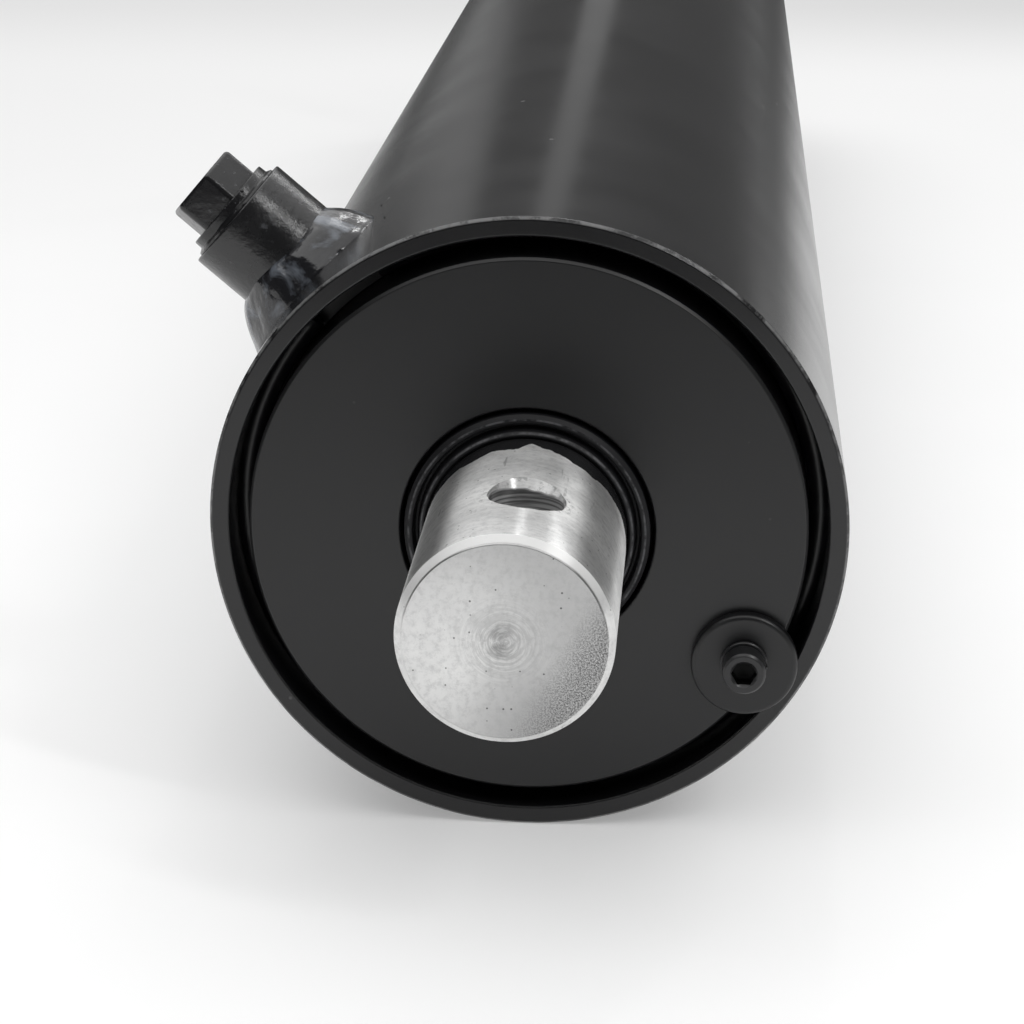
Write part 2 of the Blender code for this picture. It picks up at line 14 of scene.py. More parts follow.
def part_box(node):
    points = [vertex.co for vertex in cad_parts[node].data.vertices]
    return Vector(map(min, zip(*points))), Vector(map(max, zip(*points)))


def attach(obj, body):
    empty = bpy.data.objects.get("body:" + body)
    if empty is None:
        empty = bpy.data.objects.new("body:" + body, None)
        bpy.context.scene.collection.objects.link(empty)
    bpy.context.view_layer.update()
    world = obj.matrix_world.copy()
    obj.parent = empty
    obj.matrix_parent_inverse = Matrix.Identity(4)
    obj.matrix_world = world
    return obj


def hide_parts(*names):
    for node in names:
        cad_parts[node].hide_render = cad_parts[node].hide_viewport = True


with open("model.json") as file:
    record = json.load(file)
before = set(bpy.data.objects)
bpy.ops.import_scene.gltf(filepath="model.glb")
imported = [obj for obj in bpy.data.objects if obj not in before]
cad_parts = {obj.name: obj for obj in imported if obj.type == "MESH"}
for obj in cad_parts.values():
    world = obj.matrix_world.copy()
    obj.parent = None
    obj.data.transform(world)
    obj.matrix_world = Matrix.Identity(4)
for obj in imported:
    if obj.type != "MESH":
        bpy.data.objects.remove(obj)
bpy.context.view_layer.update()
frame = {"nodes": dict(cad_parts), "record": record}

MM = 0.001
STEPS = 192
SMALL_STEPS = 96
CORNER_STEPS = 4

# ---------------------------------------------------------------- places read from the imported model


def low(node):
    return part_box(node)[0]


def high(node):
    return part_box(node)[1]


def middle(node):
    return (low(node) + high(node)) / 2


def mount(name):
    return next(m for m in frame["record"]["mounts"] if m["name"] == name)


RIM = low("barrel_tube").y
TUBE_BACK = high("barrel_tube").y
TUBE_RADIUS = high("barrel_tube").x
GLAND_BACK = high("gland").y
PISTON_FRONT = low("piston").y
ROD_BACK = high("rod").y
CAP_FRONT = low("base_cap").y
CAP_BACK = high("base_cap").y
CROSS_TUBE_PLACE = middle("cross_tube").y
CROSS_TUBE_HALF = high("cross_tube").x
FLOOR = low("barrel_tube").z

# Dimensions shared with the CAD model.
GAP = 0.3 * MM
BORE_RADIUS = 44.45 * MM
PILOT_RADIUS = BORE_RADIUS - GAP
RELIEF_RADIUS = 47.6 * MM
RELIEF_DEPTH = 24.5 * MM
RING_DEPTH = 11.9 * MM
RING_WIRE_RADIUS = 1.9 * MM
RING_CENTRE_RADIUS = 46.6 * MM
RING_GROOVE_RADIUS = 48.9 * MM
RING_GAP_START = math.radians(122)
RING_GAP_END = math.radians(138)
NOSE_RADIUS = 44.4 * MM
WIPER_SEAT_RADIUS = 20.2 * MM
WIPER_SEAT_DEPTH = 8.5 * MM
ROD_RADIUS = 15.875 * MM
ROD_CHAMFER = 1.2 * MM
ROD_CLEARANCE_RADIUS = 16.3 * MM
SLIDING_RADIUS = ROD_RADIUS + 0.1 * MM
SPIGOT_RADIUS = 12.0 * MM
CROSS_HOLE_RADIUS = 5.56 * MM
CROSS_HOLE_PLACE = 20.2 * MM
CROSS_HOLE_LEAN = math.radians(7.2)
COUNTERSINK = 1.5 * MM
SCREW_HEAD_RADIUS = 3.45 * MM
SCREW_SHANK_RADIUS = 2.05 * MM
SOCKET_ACROSS_CORNERS = 4.12 * MM
SOCKET_DEPTH = 2.2 * MM
BOSS_RADIUS = 10.24 * MM
BOSS_TOP = 66.4 * MM
PORT_THREAD_RADIUS = 5.5 * MM
PLUG_COLLAR_RADIUS = 8.3 * MM
PLUG_COLLAR_HEIGHT = 1.9 * MM
PLUG_LENGTH = 11.8 * MM
PORT_MOUTH_RADIUS = PLUG_COLLAR_RADIUS + GAP
PORT_MOUTH_DEPTH = 3.2 * MM
HEX_CORNER_RADIUS = 7.25 * MM
HEX_TOP = 74.4 * MM
PLUG_TURN = math.radians(-3)
CROSS_TUBE_RADIUS = 22.225 * MM
CROSS_TUBE_BORE = 12.7 * MM
WELD_CHAMFER = 3.5 * MM

# How far a boss and its weld sink into the tube's surface, so that no light shows under them.
SINK = 0.05 * MM

# ---------------------------------------------------------------- axes


def basis(x, y, z, origin):
    """The matrix whose local axes and origin are these."""
    rows = [[x[i], y[i], z[i], origin[i]] for i in range(3)]
    return Matrix(rows + [[0, 0, 0, 1]])


def parallel_axis(x, z):
    """Local Z runs back along the cylinder, through this place across it."""
    return basis((1, 0, 0), (0, 0, -1), (0, 1, 0), (x, 0, z))


MAIN_AXIS = parallel_axis(0, 0)


def port_axis(mount_name):
    """Local Z runs out through the port from the cylinder's axis, and local Y back along the cylinder."""
    facts = mount(mount_name)
    out = Vector(facts["axis"]).normalized()
    back = Vector((0, 1, 0))
    return basis(back.cross(out), back, out, (0, facts["pos_m"][1], 0))


# ---------------------------------------------------------------- mesh work


def rounded(outline, radius, ring=True):
    """The outline with its corners rounded. A point's third value, where it has one, is its own radius."""
    count = len(outline)
    result = []
    for i, point in enumerate(outline):
        here = Vector(point[:2])
        own = point[2] if len(point) > 2 else radius
        if own <= 0 or (not ring and i in (0, count - 1)):
            result.append(tuple(here))
            continue
        to_last = Vector(outline[i - 1][:2]) - here
        to_next = Vector(outline[(i + 1) % count][:2]) - here
        result += rounded_corner(here, to_last, to_next, own)
    return result


def rounded_corner(corner, to_last, to_next, radius):
    """An arc in place of a corner, with a point on each side that keeps the flats beside it flat."""
    room = 0.38 * min(to_last.length, to_next.length)
    u, v = to_last.normalized(), to_next.normalized()
    half = u.angle(v) / 2
    if half > math.radians(88):
        return [tuple(corner)]
    reach = min(radius / math.tan(half), room)
    arc = reach * math.tan(half)
    centre = corner + (u + v).normalized() * (arc / math.sin(half))
    start = corner + u * reach - centre
    turn = start.angle_signed(corner + v * reach - centre)
    margin = min(0.5 * reach, 0.2 * room)
    points = [corner + u * (reach + margin)]
    for k in range(CORNER_STEPS + 1):
        angle = -turn * k / CORNER_STEPS
        points.append(centre + Matrix.Rotation(angle, 2) @ start)
    points.append(corner + v * (reach + margin))
    return [tuple(p) for p in points]


def lathe(name, profile, axis, steps=STEPS, ring=True):
    """A turned mesh. The profile is a list of (radius, place), or a function of the angle that gives one."""
    body = bmesh.new()
    rows = []
    for step in range(steps):
        angle = math.tau * step / steps
        points = profile(angle) if callable(profile) else profile
        c, s = math.cos(angle), math.sin(angle)
        rows.append([body.verts.new(axis @ Vector((r * c, r * s, z))) for r, z in points])
    for row, following in zip(rows, rows[1:] + rows[:1]):
        spans = len(row) if ring else len(row) - 1
        for i in range(spans):
            j = (i + 1) % len(row)
            body.faces.new((row[i], row[j], following[j], following[i]))
    bmesh.ops.remove_doubles(body, verts=body.verts, dist=1e-7)
    return closed_object(name, body)


def closed_object(name, body):
    """Turns a closed bmesh into an object with its faces outwards."""
    bmesh.ops.recalc_face_normals(body, faces=body.faces)
    mesh = bpy.data.meshes.new(name)
    body.to_mesh(mesh)
    body.free()
    obj = bpy.data.objects.new(name, mesh)
    bpy.context.scene.collection.objects.link(obj)
    return obj


def loft(name, body, rows):
    """Joins rows of vertices, each a closed loop, into a skin, and caps its two ends."""
    for row, following in zip(rows, rows[1:]):
        for k in range(len(row)):
            j = (k + 1) % len(row)
            body.faces.new((row[k], row[j], following[j], following[k]))
    body.faces.new(rows[0])
    body.faces.new(rows[-1])
    return closed_object(name, body)


def prism(name, corners, start, end, axis):
    """A straight bar whose section is the list of (x, y) corners, from start to end along the axis."""
    body = bmesh.new()
    near = [body.verts.new(axis @ Vector((x, y, start))) for x, y in corners]
    far = [body.verts.new(axis @ Vector((x, y, end))) for x, y in corners]
    body.faces.new(near)
    body.faces.new(far)
    for i in range(len(corners)):
        j = (i + 1) % len(corners)
        body.faces.new((near[i], near[j], far[j], far[i]))
    return closed_object(name, body)


def polygon(sides, radius, turn=0.0):
    return [
        (radius * math.cos(turn + math.tau * i / sides), radius * math.sin(turn + math.tau * i / sides))
        for i in range(sides)
    ]


def apply_modifiers(obj):
    graph = bpy.context.evaluated_depsgraph_get()
    mesh = bpy.data.meshes.new_from_object(obj.evaluated_get(graph))
    obj.modifiers.clear()
    obj.data = mesh


def carve(obj, *cutters, operation="DIFFERENCE"):
    """Cuts the cutters from the object, or joins them on, and removes them."""
    for cutter in cutters:
        step = obj.modifiers.new("carve", "BOOLEAN")
        step.operation = operation
        step.solver = "EXACT"
        step.object = cutter
        bpy.context.view_layer.update()
        apply_modifiers(obj)
        bpy.data.objects.remove(cutter)
    return obj


def soften(obj, width):
    """Rounds the object's sharp edges."""
    bevel = obj.modifiers.new("soften", "BEVEL")
    bevel.width = width
    bevel.segments = 4
    bevel.limit_method = "ANGLE"
    bevel.angle_limit = math.radians(40)
    bevel.harden_normals = False
    bpy.context.view_layer.update()
    apply_modifiers(obj)
    return obj


def finish_piece(obj, body, slot, *nodes, sharp=38):
    """Shades a piece, gives it its slot's material, and lets it stand for its CAD nodes on their body."""
    obj.data.materials.clear()
    obj.data.materials.append(MATERIALS[slot])
    obj.data.shade_smooth()
    obj.data.set_sharp_from_angle(angle=math.radians(sharp))
    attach(obj, body)
    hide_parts(*nodes)
    return obj


# ---------------------------------------------------------------- materials


def grey(level):
    return (level, level, level)


class Graph:
    """A node tree, and short names for the nodes that go into it."""

    def __init__(self, tree, coordinates):
        self.tree = tree
        self.place = self.node("ShaderNodeTexCoord").outputs[coordinates]
        self.x, self.y, self.z = self.node("ShaderNodeSeparateXYZ", {"Vector": self.place}).outputs

    def set(self, node, values):
        for key, value in values.items():
            socket = node.inputs[key]
            if isinstance(value, bpy.types.NodeSocket):
                self.tree.links.new(value, socket)
            else:
                socket.default_value = value

    def node(self, kind, inputs=None, **settings):
        made = self.tree.nodes.new(kind)
        for key, value in settings.items():
            setattr(made, key, value)
        self.set(made, inputs or {})
        return made

    def math(self, operation, *values):
        return self.node("ShaderNodeMath", dict(enumerate(values)), operation=operation).outputs[0]

    def times(self, a, b):
        return self.math("MULTIPLY", a, b)

    def plus(self, a, b):
        return self.math("ADD", a, b)

    def minus(self, a, b):
        return self.math("SUBTRACT", a, b)

    def scaled(self, x, y, z, source=None):
        inputs = {"Vector": source or self.place, "Scale": (x, y, z)}
        return self.node("ShaderNodeMapping", inputs).outputs[0]

    def noise(self, scale, detail=3.0, rough=0.5, stretch=(1, 1, 1), distortion=0.0, source=None):
        where = self.scaled(*(scale * s for s in stretch), source=source)
        inputs = {"Vector": where, "Scale": 1.0, "Detail": detail, "Roughness": rough}
        inputs["Distortion"] = distortion
        return self.node("ShaderNodeTexNoise", inputs).outputs["Fac"]

    def step(self, value, low, high, to_low=0.0, to_high=1.0, smooth=True):
        """The value taken from low..high to to_low..to_high, and held past both ends."""
        made = self.node("ShaderNodeMapRange", interpolation_type="SMOOTHSTEP" if smooth else "LINEAR")
        values = (value, low, high, to_low, to_high)
        self.set(made, dict(zip(("Value", "From Min", "From Max", "To Min", "To Max"), values)))
        return made.outputs[0]

    def mix(self, factor, a, b):
        made = self.node("ShaderNodeMix", data_type="RGBA")
        self.set(made, {0: factor, 6: self.colour(a), 7: self.colour(b)})
        return made.outputs[2]

    def blend(self, factor, a, b):
        """A number that goes from a to b as the factor goes from 0 to 1."""
        made = self.node("ShaderNodeMix", data_type="FLOAT")
        self.set(made, {0: factor, 2: a, 3: b})
        return made.outputs[0]

    def colour(self, value):
        return value if isinstance(value, bpy.types.NodeSocket) else (*value, 1)

    def voronoi(self, scale):
        where = self.scaled(scale, scale, scale)
        return self.node("ShaderNodeTexVoronoi", {"Vector": where, "Scale": 1.0})


class Look(Graph):
    """A Principled material, whose coordinates are the row frame's."""

    def __init__(self, name, colour, roughness, metallic=0.0, **sockets):
        self.material = bpy.data.materials.new(name)
        self.material.use_nodes = True
        super().__init__(self.material.node_tree, "Object")
        self.shader = self.tree.nodes["Principled BSDF"]
        self.set(self.shader, {"Base Color": (*colour, 1), "Roughness": roughness, "Metallic": metallic})
        self.set(self.shader, sockets)
        self.normal = None

    def bump(self, height, distance, strength=1.0):
        inputs = {"Height": height, "Distance": distance, "Strength": strength}
        if self.normal:
            inputs["Normal"] = self.normal
        self.normal = self.node("ShaderNodeBump", inputs).outputs[0]

    def done(self, **sockets):
        self.set(self.shader, {key.replace("_", " "): value for key, value in sockets.items()})
        if self.normal:
            self.set(self.shader, {"Normal": self.normal})
        return self.material


def dust(look, scale, size, share):
    """A mask of sparse specks, in this share of cells. There are scale cells to the metre."""
    cells = look.voronoi(scale)
    near = look.step(cells.outputs["Distance"], size, size * 0.5)
    picked = look.math("GREATER_THAN", look.node(
        "ShaderNodeSeparateColor", {"Color": cells.outputs["Color"]}).outputs[0], 1 - share)
    return look.times(near, picked)


BLACK = (0.0068, 0.0068, 0.0074)


def paint(name, roughness, peel, specks=0.02, lines=0.0, rim_edge_highlight=False):
    """Black paint: blotchy gloss, orange peel, a little dust and, on drawn tube, faint lines along it. The
    tube's rim can have a painted highlight: a pale, broken, slightly rougher band along its outer edge."""
    look = Look(name, BLACK, roughness)
    blotch = look.noise(38, detail=4, rough=0.6)
    cloud = look.noise(9, detail=2)
    grain = look.noise(1400, detail=2)
    worn = look.mix(look.step(blotch, 0.35, 0.75), BLACK, tuple(1.3 * c for c in BLACK))
    speck = dust(look, 260, 0.13, specks)
    base = look.mix(look.times(speck, 0.7), worn, tuple(c + 0.09 for c in BLACK))
    gloss = look.plus(look.step(blotch, 0.3, 0.7, -0.015, 0.02), look.step(cloud, 0.3, 0.7, -0.01, 0.01))
    rough = look.plus(gloss, look.plus(roughness, look.times(speck, 0.3)))
    if rim_edge_highlight:
        # Painted highlight: a pale, broken band along the rim's outer edge, also made a little rougher.
        outer = look.step(radius_of(look), TUBE_RADIUS - 0.55 * MM, TUBE_RADIUS - 0.2 * MM)
        near = look.step(look.y, RIM + 0.75 * MM, RIM + 0.3 * MM)
        broken = look.step(look.noise(260, detail=4, rough=0.7), 0.38, 0.6)
        pale_mask = look.times(look.times(outer, near), broken)
        base = look.mix(look.times(pale_mask, 0.75), base, grey(0.2))
        rough = look.plus(rough, look.times(pale_mask, 0.15))
    look.bump(look.noise(620, detail=3, rough=0.55), peel)
    look.bump(grain, peel * 0.25)
    if lines:
        look.bump(look.noise(1, detail=3, stretch=(900, 14, 900)), lines)
    return look.done(Base_Color=base, Roughness=rough)


def weld_paint():
    """Thick glossy paint pooled over a weld bead, with pale blue-grey patches painted in as highlights."""
    look = Look("weld_paint", (0.024, 0.025, 0.027), 0.2, **{"Specular IOR Level": 0.64})
    pool = look.noise(150, detail=4, rough=0.6, distortion=0.6)
    # Painted highlight: pale blue-grey patches in the paint's colour.
    weld_highlight = look.step(pool, 0.50, 0.68)
    base = look.mix(weld_highlight, (0.010, 0.010, 0.012), (0.14, 0.155, 0.18))
    look.bump(look.noise(260, detail=3, rough=0.5), 0.34 * MM)
    look.bump(look.noise(1100, detail=3, rough=0.6), 0.04 * MM)
    return look.done(Base_Color=base, Roughness=look.step(pool, 0.35, 0.7, 0.10, 0.24))


def boss_paint():
    """Paint over a turned boss: its skin is roughened in a patchy way and flecked with pale, worn paint all
    over.
    """
    look = Look("boss_paint", (0.012, 0.012, 0.013), 0.3, **{"Specular IOR Level": 0.65})
    patch = look.noise(260, detail=5, rough=0.7)
    pale_mask = look.step(look.noise(520, detail=4, rough=0.7), 0.60, 0.72)
    base = look.mix(look.times(pale_mask, 0.5), (0.010, 0.010, 0.011), (0.12, 0.125, 0.135))
    look.bump(look.noise(900, detail=4, rough=0.65), 0.08 * MM)
    look.bump(patch, 0.1 * MM)
    return look.done(Base_Color=base, Roughness=look.step(patch, 0.35, 0.7, 0.18, 0.32))


def plug_paint():
    """Black paint over a moulded plug, chipped at the collar and pitted on the flats."""
    look = Look("plug_paint", (0.009, 0.009, 0.010), 0.26)
    chip = look.step(look.noise(700, detail=4, rough=0.7), 0.62, 0.68)
    base = look.mix(look.times(chip, 0.5), (0.008, 0.008, 0.009), (0.14, 0.145, 0.155))
    look.bump(look.noise(480, detail=4, rough=0.6), 0.12 * MM)
    look.bump(dust(look, 620, 0.3, 0.1), 0.15 * MM)
    return look.done(Base_Color=base, Roughness=look.step(chip, 0, 1, 0.24, 0.42))


def fastener_paint():
    """Paint over the small screw and its spring washer, with painted shade down the screw's socket."""
    look = Look("fastener_paint", (0.014, 0.014, 0.015), 0.34)
    screw, front = middle("lock_screw"), low("lock_screw").y
    corner = SOCKET_ACROSS_CORNERS / 2
    # Painted shade down the socket: its colour is darkened, its reflection dimmed by the specular tint, and it
    # is rougher.
    inside = look.step(distance(look, (look.x, screw.x), (look.z, screw.z)), corner + 0.35 * MM, corner)
    deep = look.step(look.y, front + 0.15 * MM, front + 0.7 * MM)
    short = look.step(look.y, front + 4 * MM, front + 3 * MM)
    socket_shade = look.times(look.times(inside, deep), short)
    base = look.mix(look.noise(300, detail=3), (0.010, 0.010, 0.011), (0.020, 0.020, 0.021))
    base = look.mix(socket_shade, base, grey(0.003))
    look.bump(look.noise(900, detail=3, rough=0.6), 0.02 * MM)
    tint = look.mix(socket_shade, (1, 1, 1), grey(0.22))
    return look.done(Base_Color=base, Specular_Tint=tint, Roughness=look.blend(socket_shade, 0.32, 0.45))


def wire_paint():
    look = Look("ring_wire", (0.010, 0.010, 0.011), 0.3)
    cloud = look.step(look.noise(240, detail=3), 0.5, 0.8)
    base = look.mix(cloud, (0.008, 0.008, 0.009), (0.022, 0.022, 0.024))
    look.bump(look.noise(900, detail=2), 0.03 * MM)
    return look.done(Base_Color=base)


def rubber(name, colour, roughness, pale_rings=()):
    """Rubber with a moulded grain. Each pale ring is a (radius, half width) where the rubber is greyer along
    an edge.
    """
    look = Look(name, colour, roughness, **{"Specular IOR Level": 0.25})
    grain = look.noise(1500, detail=3)
    base = look.mix(look.noise(90, detail=3), colour, tuple(1.6 * c for c in colour))
    radius = radius_of(look)
    # Each ring greys the rubber in a broken line round its radius.
    for centre, half in pale_rings:
        away = look.math("ABSOLUTE", look.minus(radius, centre))
        edge = look.step(away, half, half * 0.35)
        broken = look.step(look.noise(420, detail=3, rough=0.7), 0.36, 0.62)
        base = look.mix(look.times(edge, broken), base, (0.10, 0.10, 0.105))
    look.bump(grain, 0.03 * MM)
    return look.done(Base_Color=base)


def distance(look, *pairs):
    """Distance from a line along the third axis. Each pair is a coordinate and the line's place on it."""
    squares = []
    for value, place in pairs:
        away = look.minus(value, place)
        squares.append(look.times(away, away))
    return look.math("SQRT", look.plus(*squares))


def radius_of(look):
    """Distance from the cylinder's axis."""
    return distance(look, (look.x, 0.0), (look.z, 0.0))


def turned_metal(name, colour, roughness):
    """Metal with tool marks that run round the cylinder's axis."""
    look = Look(name, colour, roughness, 0.9)
    spacing = 0.25 * MM
    marks = look.noise(1 / spacing, detail=3, rough=0.7, stretch=(0.02, 1, 0.02))
    stain = look.noise(70, detail=4, rough=0.6)
    base = look.mix(look.step(stain, 0.4, 0.75), colour, tuple(0.6 * c for c in colour))
    look.bump(marks, 0.01 * MM)
    return look.done(Base_Color=base, Roughness=look.step(stain, 0.3, 0.7, roughness - 0.06, roughness + 0.1))


def plastic(name, colour, roughness):
    look = Look(name, colour, roughness)
    base = look.mix(look.noise(200, detail=4), colour, tuple(1.4 * c for c in colour))
    look.bump(look.noise(1800, detail=2), 0.02 * MM)
    return look.done(Base_Color=base)


def tool_marks(look, radius, face, polar):
    """The shaft's fine rings, and the faced end's, which are strongest at its centre."""
    around = look.noise(1, detail=4, rough=0.75, stretch=(55, 4200, 55))
    coarse = look.noise(1, detail=3, rough=0.6, stretch=(20, 900, 20))
    facing = look.noise(1, detail=3, rough=0.65, stretch=(2300, 1100, 1), source=polar)
    centre = look.step(radius, 5.5 * MM, 0.6 * MM)
    face_marks = look.times(facing, look.plus(look.times(centre, 0.75), 0.25))
    return look.blend(face, look.blend(0.5, around, coarse), face_marks)


def faced_end(look, bright, radius, face, polar):
    """Adds the faced end's tool rings and painted shade: it is painted brightest at its left and darker below
    its centre, and has a mottled crescent low on its right. Gives the colour and the crescent's speckle."""
    rings = look.step(look.noise(1, detail=3, rough=0.7, stretch=(2500, 600, 1), source=polar), 0.42, 0.56)
    rings = look.times(look.times(rings, face), look.step(radius, 9 * MM, 1.2 * MM))
    bright = look.mix(look.times(rings, 0.5), bright, grey(0.30))
    # Painted shade: the face darkens away from a point at its left, and below its centre.
    from_left = distance(look, (look.x, -9 * MM), (look.z, -1 * MM))
    painted_falloff = look.times(look.step(from_left, 3 * MM, 20 * MM, 0.1, 0.7), face)
    below = distance(look, (look.x, 1 * MM), (look.z, -10 * MM))
    shade = look.times(look.step(below, 10 * MM, 2 * MM, 0.0, 0.25), face)
    bright = look.mix(look.plus(painted_falloff, shade), bright, grey(0.36))
    lower_right = look.minus(look.times(look.x, 0.86), look.times(look.z, 0.5))
    crescent = look.times(look.step(lower_right, 5.5 * MM, 13.5 * MM), face)
    mottle = look.step(look.noise(4000, detail=3, rough=0.8), 0.45, 0.58)
    speckle = look.times(crescent, mottle)
    return look.mix(look.times(speckle, 0.75), bright, grey(0.13)), speckle


def cross_hole(look, bright, shaft):
    """Adds the scored and torn steel round the drilled hole, and painted shade inside the hole, crossed by the
    drill's rings. Gives the colour and the mask of that shade."""
    lean_x, lean_z = math.cos(CROSS_HOLE_LEAN), math.sin(CROSS_HOLE_LEAN)
    across = look.minus(look.times(look.x, lean_x), look.times(look.z, lean_z))
    off_axis = distance(look, (across, 0.0), (look.y, CROSS_HOLE_PLACE))
    arcs = look.node("ShaderNodeCombineXYZ", {"X": off_axis}).outputs[0]
    scored = look.step(look.noise(1500, detail=3, rough=0.7, source=arcs), 0.45, 0.62)
    burr = look.times(look.step(off_axis, 10 * MM, 7 * MM), shaft)
    bright = look.mix(look.times(look.times(burr, scored), 0.5), bright, (0.86, 0.86, 0.85))
    torn = look.step(look.noise(900, detail=4, rough=0.75), 0.5, 0.62)
    lip = look.times(look.step(off_axis, 7.2 * MM, 6.9 * MM), torn)
    bright = look.mix(look.times(lip, 0.4), bright, grey(0.14))
    # Painted shade inside the hole: its steel is darkened, with the drill's rings across it.
    wall_shade = look.step(off_axis, CROSS_HOLE_RADIUS + 0.25 * MM, CROSS_HOLE_RADIUS + 0.1 * MM)
    drill = look.noise(1, detail=3, stretch=(90, 90, 2600))
    wall_shade_colour = look.mix(look.step(drill, 0.35, 0.65), grey(0.12), grey(0.50))
    return look.mix(wall_shade, bright, wall_shade_colour), wall_shade


def overspray(look, angle):
    """The mask of the black skin in front of the wiper, whose edge is uneven, with one notch at the top."""
    in_front = look.minus(RIM, look.y)
    turn = look.node("ShaderNodeCombineXYZ", {"X": angle}).outputs[0]
    wander = look.noise(1.7, detail=2, rough=0.4, source=turn)
    reach = look.step(wander, 0.25, 0.75, 4.6 * MM, 8.8 * MM, smooth=False)
    notch_away = look.math("ABSOLUTE", look.minus(angle, math.radians(86.3)))
    notch = look.step(notch_away, math.radians(7), 0.0, 0.0, 1.9 * MM, smooth=False)
    ragged = look.step(look.noise(900, detail=3, rough=0.6), 0.3, 0.7, -0.2 * MM, 0.2 * MM)
    edge = look.plus(look.minus(reach, notch), ragged)
    film = look.step(look.minus(edge, in_front), -0.05 * MM, 0.12 * MM)
    return look.times(film, look.step(in_front, -4 * MM, -2 * MM))


def rod_steel():
    """Bare ground steel: faint rings round the shaft and on the faced end, pits, scuffs, and a skin of black
    overspray where the rod leaves the wiper."""
    look = Look("rod_steel", (0.62, 0.62, 0.61), 0.45, 1.0, Anisotropic=1.0, **{"Anisotropic Rotation": 0.25})
    radius = radius_of(look)
    angle = look.math("ARCTAN2", look.z, look.x)
    polar = look.node("ShaderNodeCombineXYZ", {"X": radius, "Y": look.times(angle, 0.0012)}).outputs[0]
    face = look.step(look.y, 0.35 * MM, 0.1 * MM)
    shaft = look.minus(1.0, face)

    marks = tool_marks(look, radius, face, polar)
    cloud = look.noise(75, detail=5, rough=0.62)
    bright = look.mix(look.step(cloud, 0.3, 0.7), (0.71, 0.71, 0.705), (0.88, 0.88, 0.87))
    bright = look.mix(look.step(marks, 0.35, 0.75, 0.0, 0.42), bright, grey(0.38))
    grain = look.noise(800, detail=4, rough=0.75)
    bright = look.mix(look.step(grain, 0.42, 0.7, 0.0, 0.38), bright, grey(0.34))
    bright, speckle = faced_end(look, bright, radius, face, polar)

    # Pits, and short dark scuffs along the shaft.
    pits = dust(look, 850, 0.17, 0.22)
    long_grain = look.noise(1, detail=3, rough=0.7, stretch=(520, 60, 520))
    scuffs = look.times(look.step(long_grain, 0.63, 0.71), shaft)
    flaws = look.math("MAXIMUM", pits, look.times(scuffs, 0.55))
    bright = look.mix(look.times(flaws, 0.85), bright, grey(0.05))

    # The turned chamfer is painted paler than the rest, most of all at its top, as a painted highlight; there
    # it is also less metallic.
    chamfer = look.times(look.step(look.y, ROD_CHAMFER + 0.1 * MM, ROD_CHAMFER), shaft)
    chamfer_highlight = look.times(chamfer, look.step(look.z, 0.0, 13 * MM, 0.15, 0.95))
    bright = look.mix(chamfer_highlight, bright, (0.97, 0.97, 0.96))

    bright, wall_shade = cross_hole(look, bright, shaft)
    film = overspray(look, angle)
    base = look.mix(film, bright, (0.012, 0.012, 0.013))

    steel_rough = look.step(cloud, 0.3, 0.75, 0.33, 0.42)
    steel_rough = look.plus(steel_rough, look.times(speckle, 0.2))
    steel_rough = look.blend(chamfer, steel_rough, 0.42)
    rough = look.blend(film, steel_rough, 0.22)
    # The painted shade inside the hole also makes it less metallic.
    bare = look.minus(0.86, look.math("MAXIMUM", look.times(flaws, 0.4), look.times(wall_shade, 0.5)))
    bare = look.blend(chamfer_highlight, bare, 0.3)
    metallic = look.blend(film, bare, 0.0)
    look.bump(marks, 0.012 * MM)
    look.bump(speckle, 0.02 * MM, 0.5)
    look.bump(film, 0.08 * MM)
    look.bump(look.times(film, look.noise(300, detail=3)), 0.25 * MM)

    # The sheen follows marks that run round the shaft and round the faced end's centre. The rest of that end
    # is evenly dull.
    around = look.node("ShaderNodeTangent", direction_type="RADIAL", axis="Y").outputs[0]
    even = look.times(face, look.step(radius, 1.5 * MM, 5 * MM, 0.6, 1.0))
    tangent = look.node("ShaderNodeMix", {0: even, 4: around, 5: (0, 0, 1)}, data_type="VECTOR").outputs[1]
    return look.done(Base_Color=base, Roughness=rough, Metallic=metallic, Tangent=tangent)


MATERIALS = {
    "barrel_paint": paint("barrel_paint", 0.20, 0.002 * MM, lines=0.001 * MM, rim_edge_highlight=True),
    "cap_paint": paint("cap_paint", 0.26, 0.03 * MM),
    "cross_tube_paint": paint("cross_tube_paint", 0.26, 0.03 * MM),
    "gland_paint": paint("gland_paint", 0.34, 0.012 * MM, specks=0.07),
    "washer_paint": paint("washer_paint", 0.36, 0.015 * MM),
    "fastener_paint": fastener_paint(),
    "weld_paint": weld_paint(),
    "boss_paint": boss_paint(),
    "plug_paint": plug_paint(),
    "ring_wire": wire_paint(),
    "rod_steel": rod_steel(),
    "piston_iron": turned_metal("piston_iron", (0.18, 0.18, 0.19), 0.5),
    "nut_steel": turned_metal("nut_steel", (0.34, 0.34, 0.35), 0.4),
    "black_rubber": rubber("black_rubber", grey(0.012), 0.55),
    "wiper_rubber": rubber(
        "wiper_rubber", (0.009, 0.009, 0.010), 0.46, ((18.75 * MM, 0.22 * MM), (16.75 * MM, 0.2 * MM))
    ),
    "seal_plastic": plastic("seal_plastic", (0.02, 0.02, 0.022), 0.4),
    "bearing_plastic": plastic("bearing_plastic", (0.24, 0.06, 0.04), 0.5),
}


# ---------------------------------------------------------------- the barrel's turned pieces


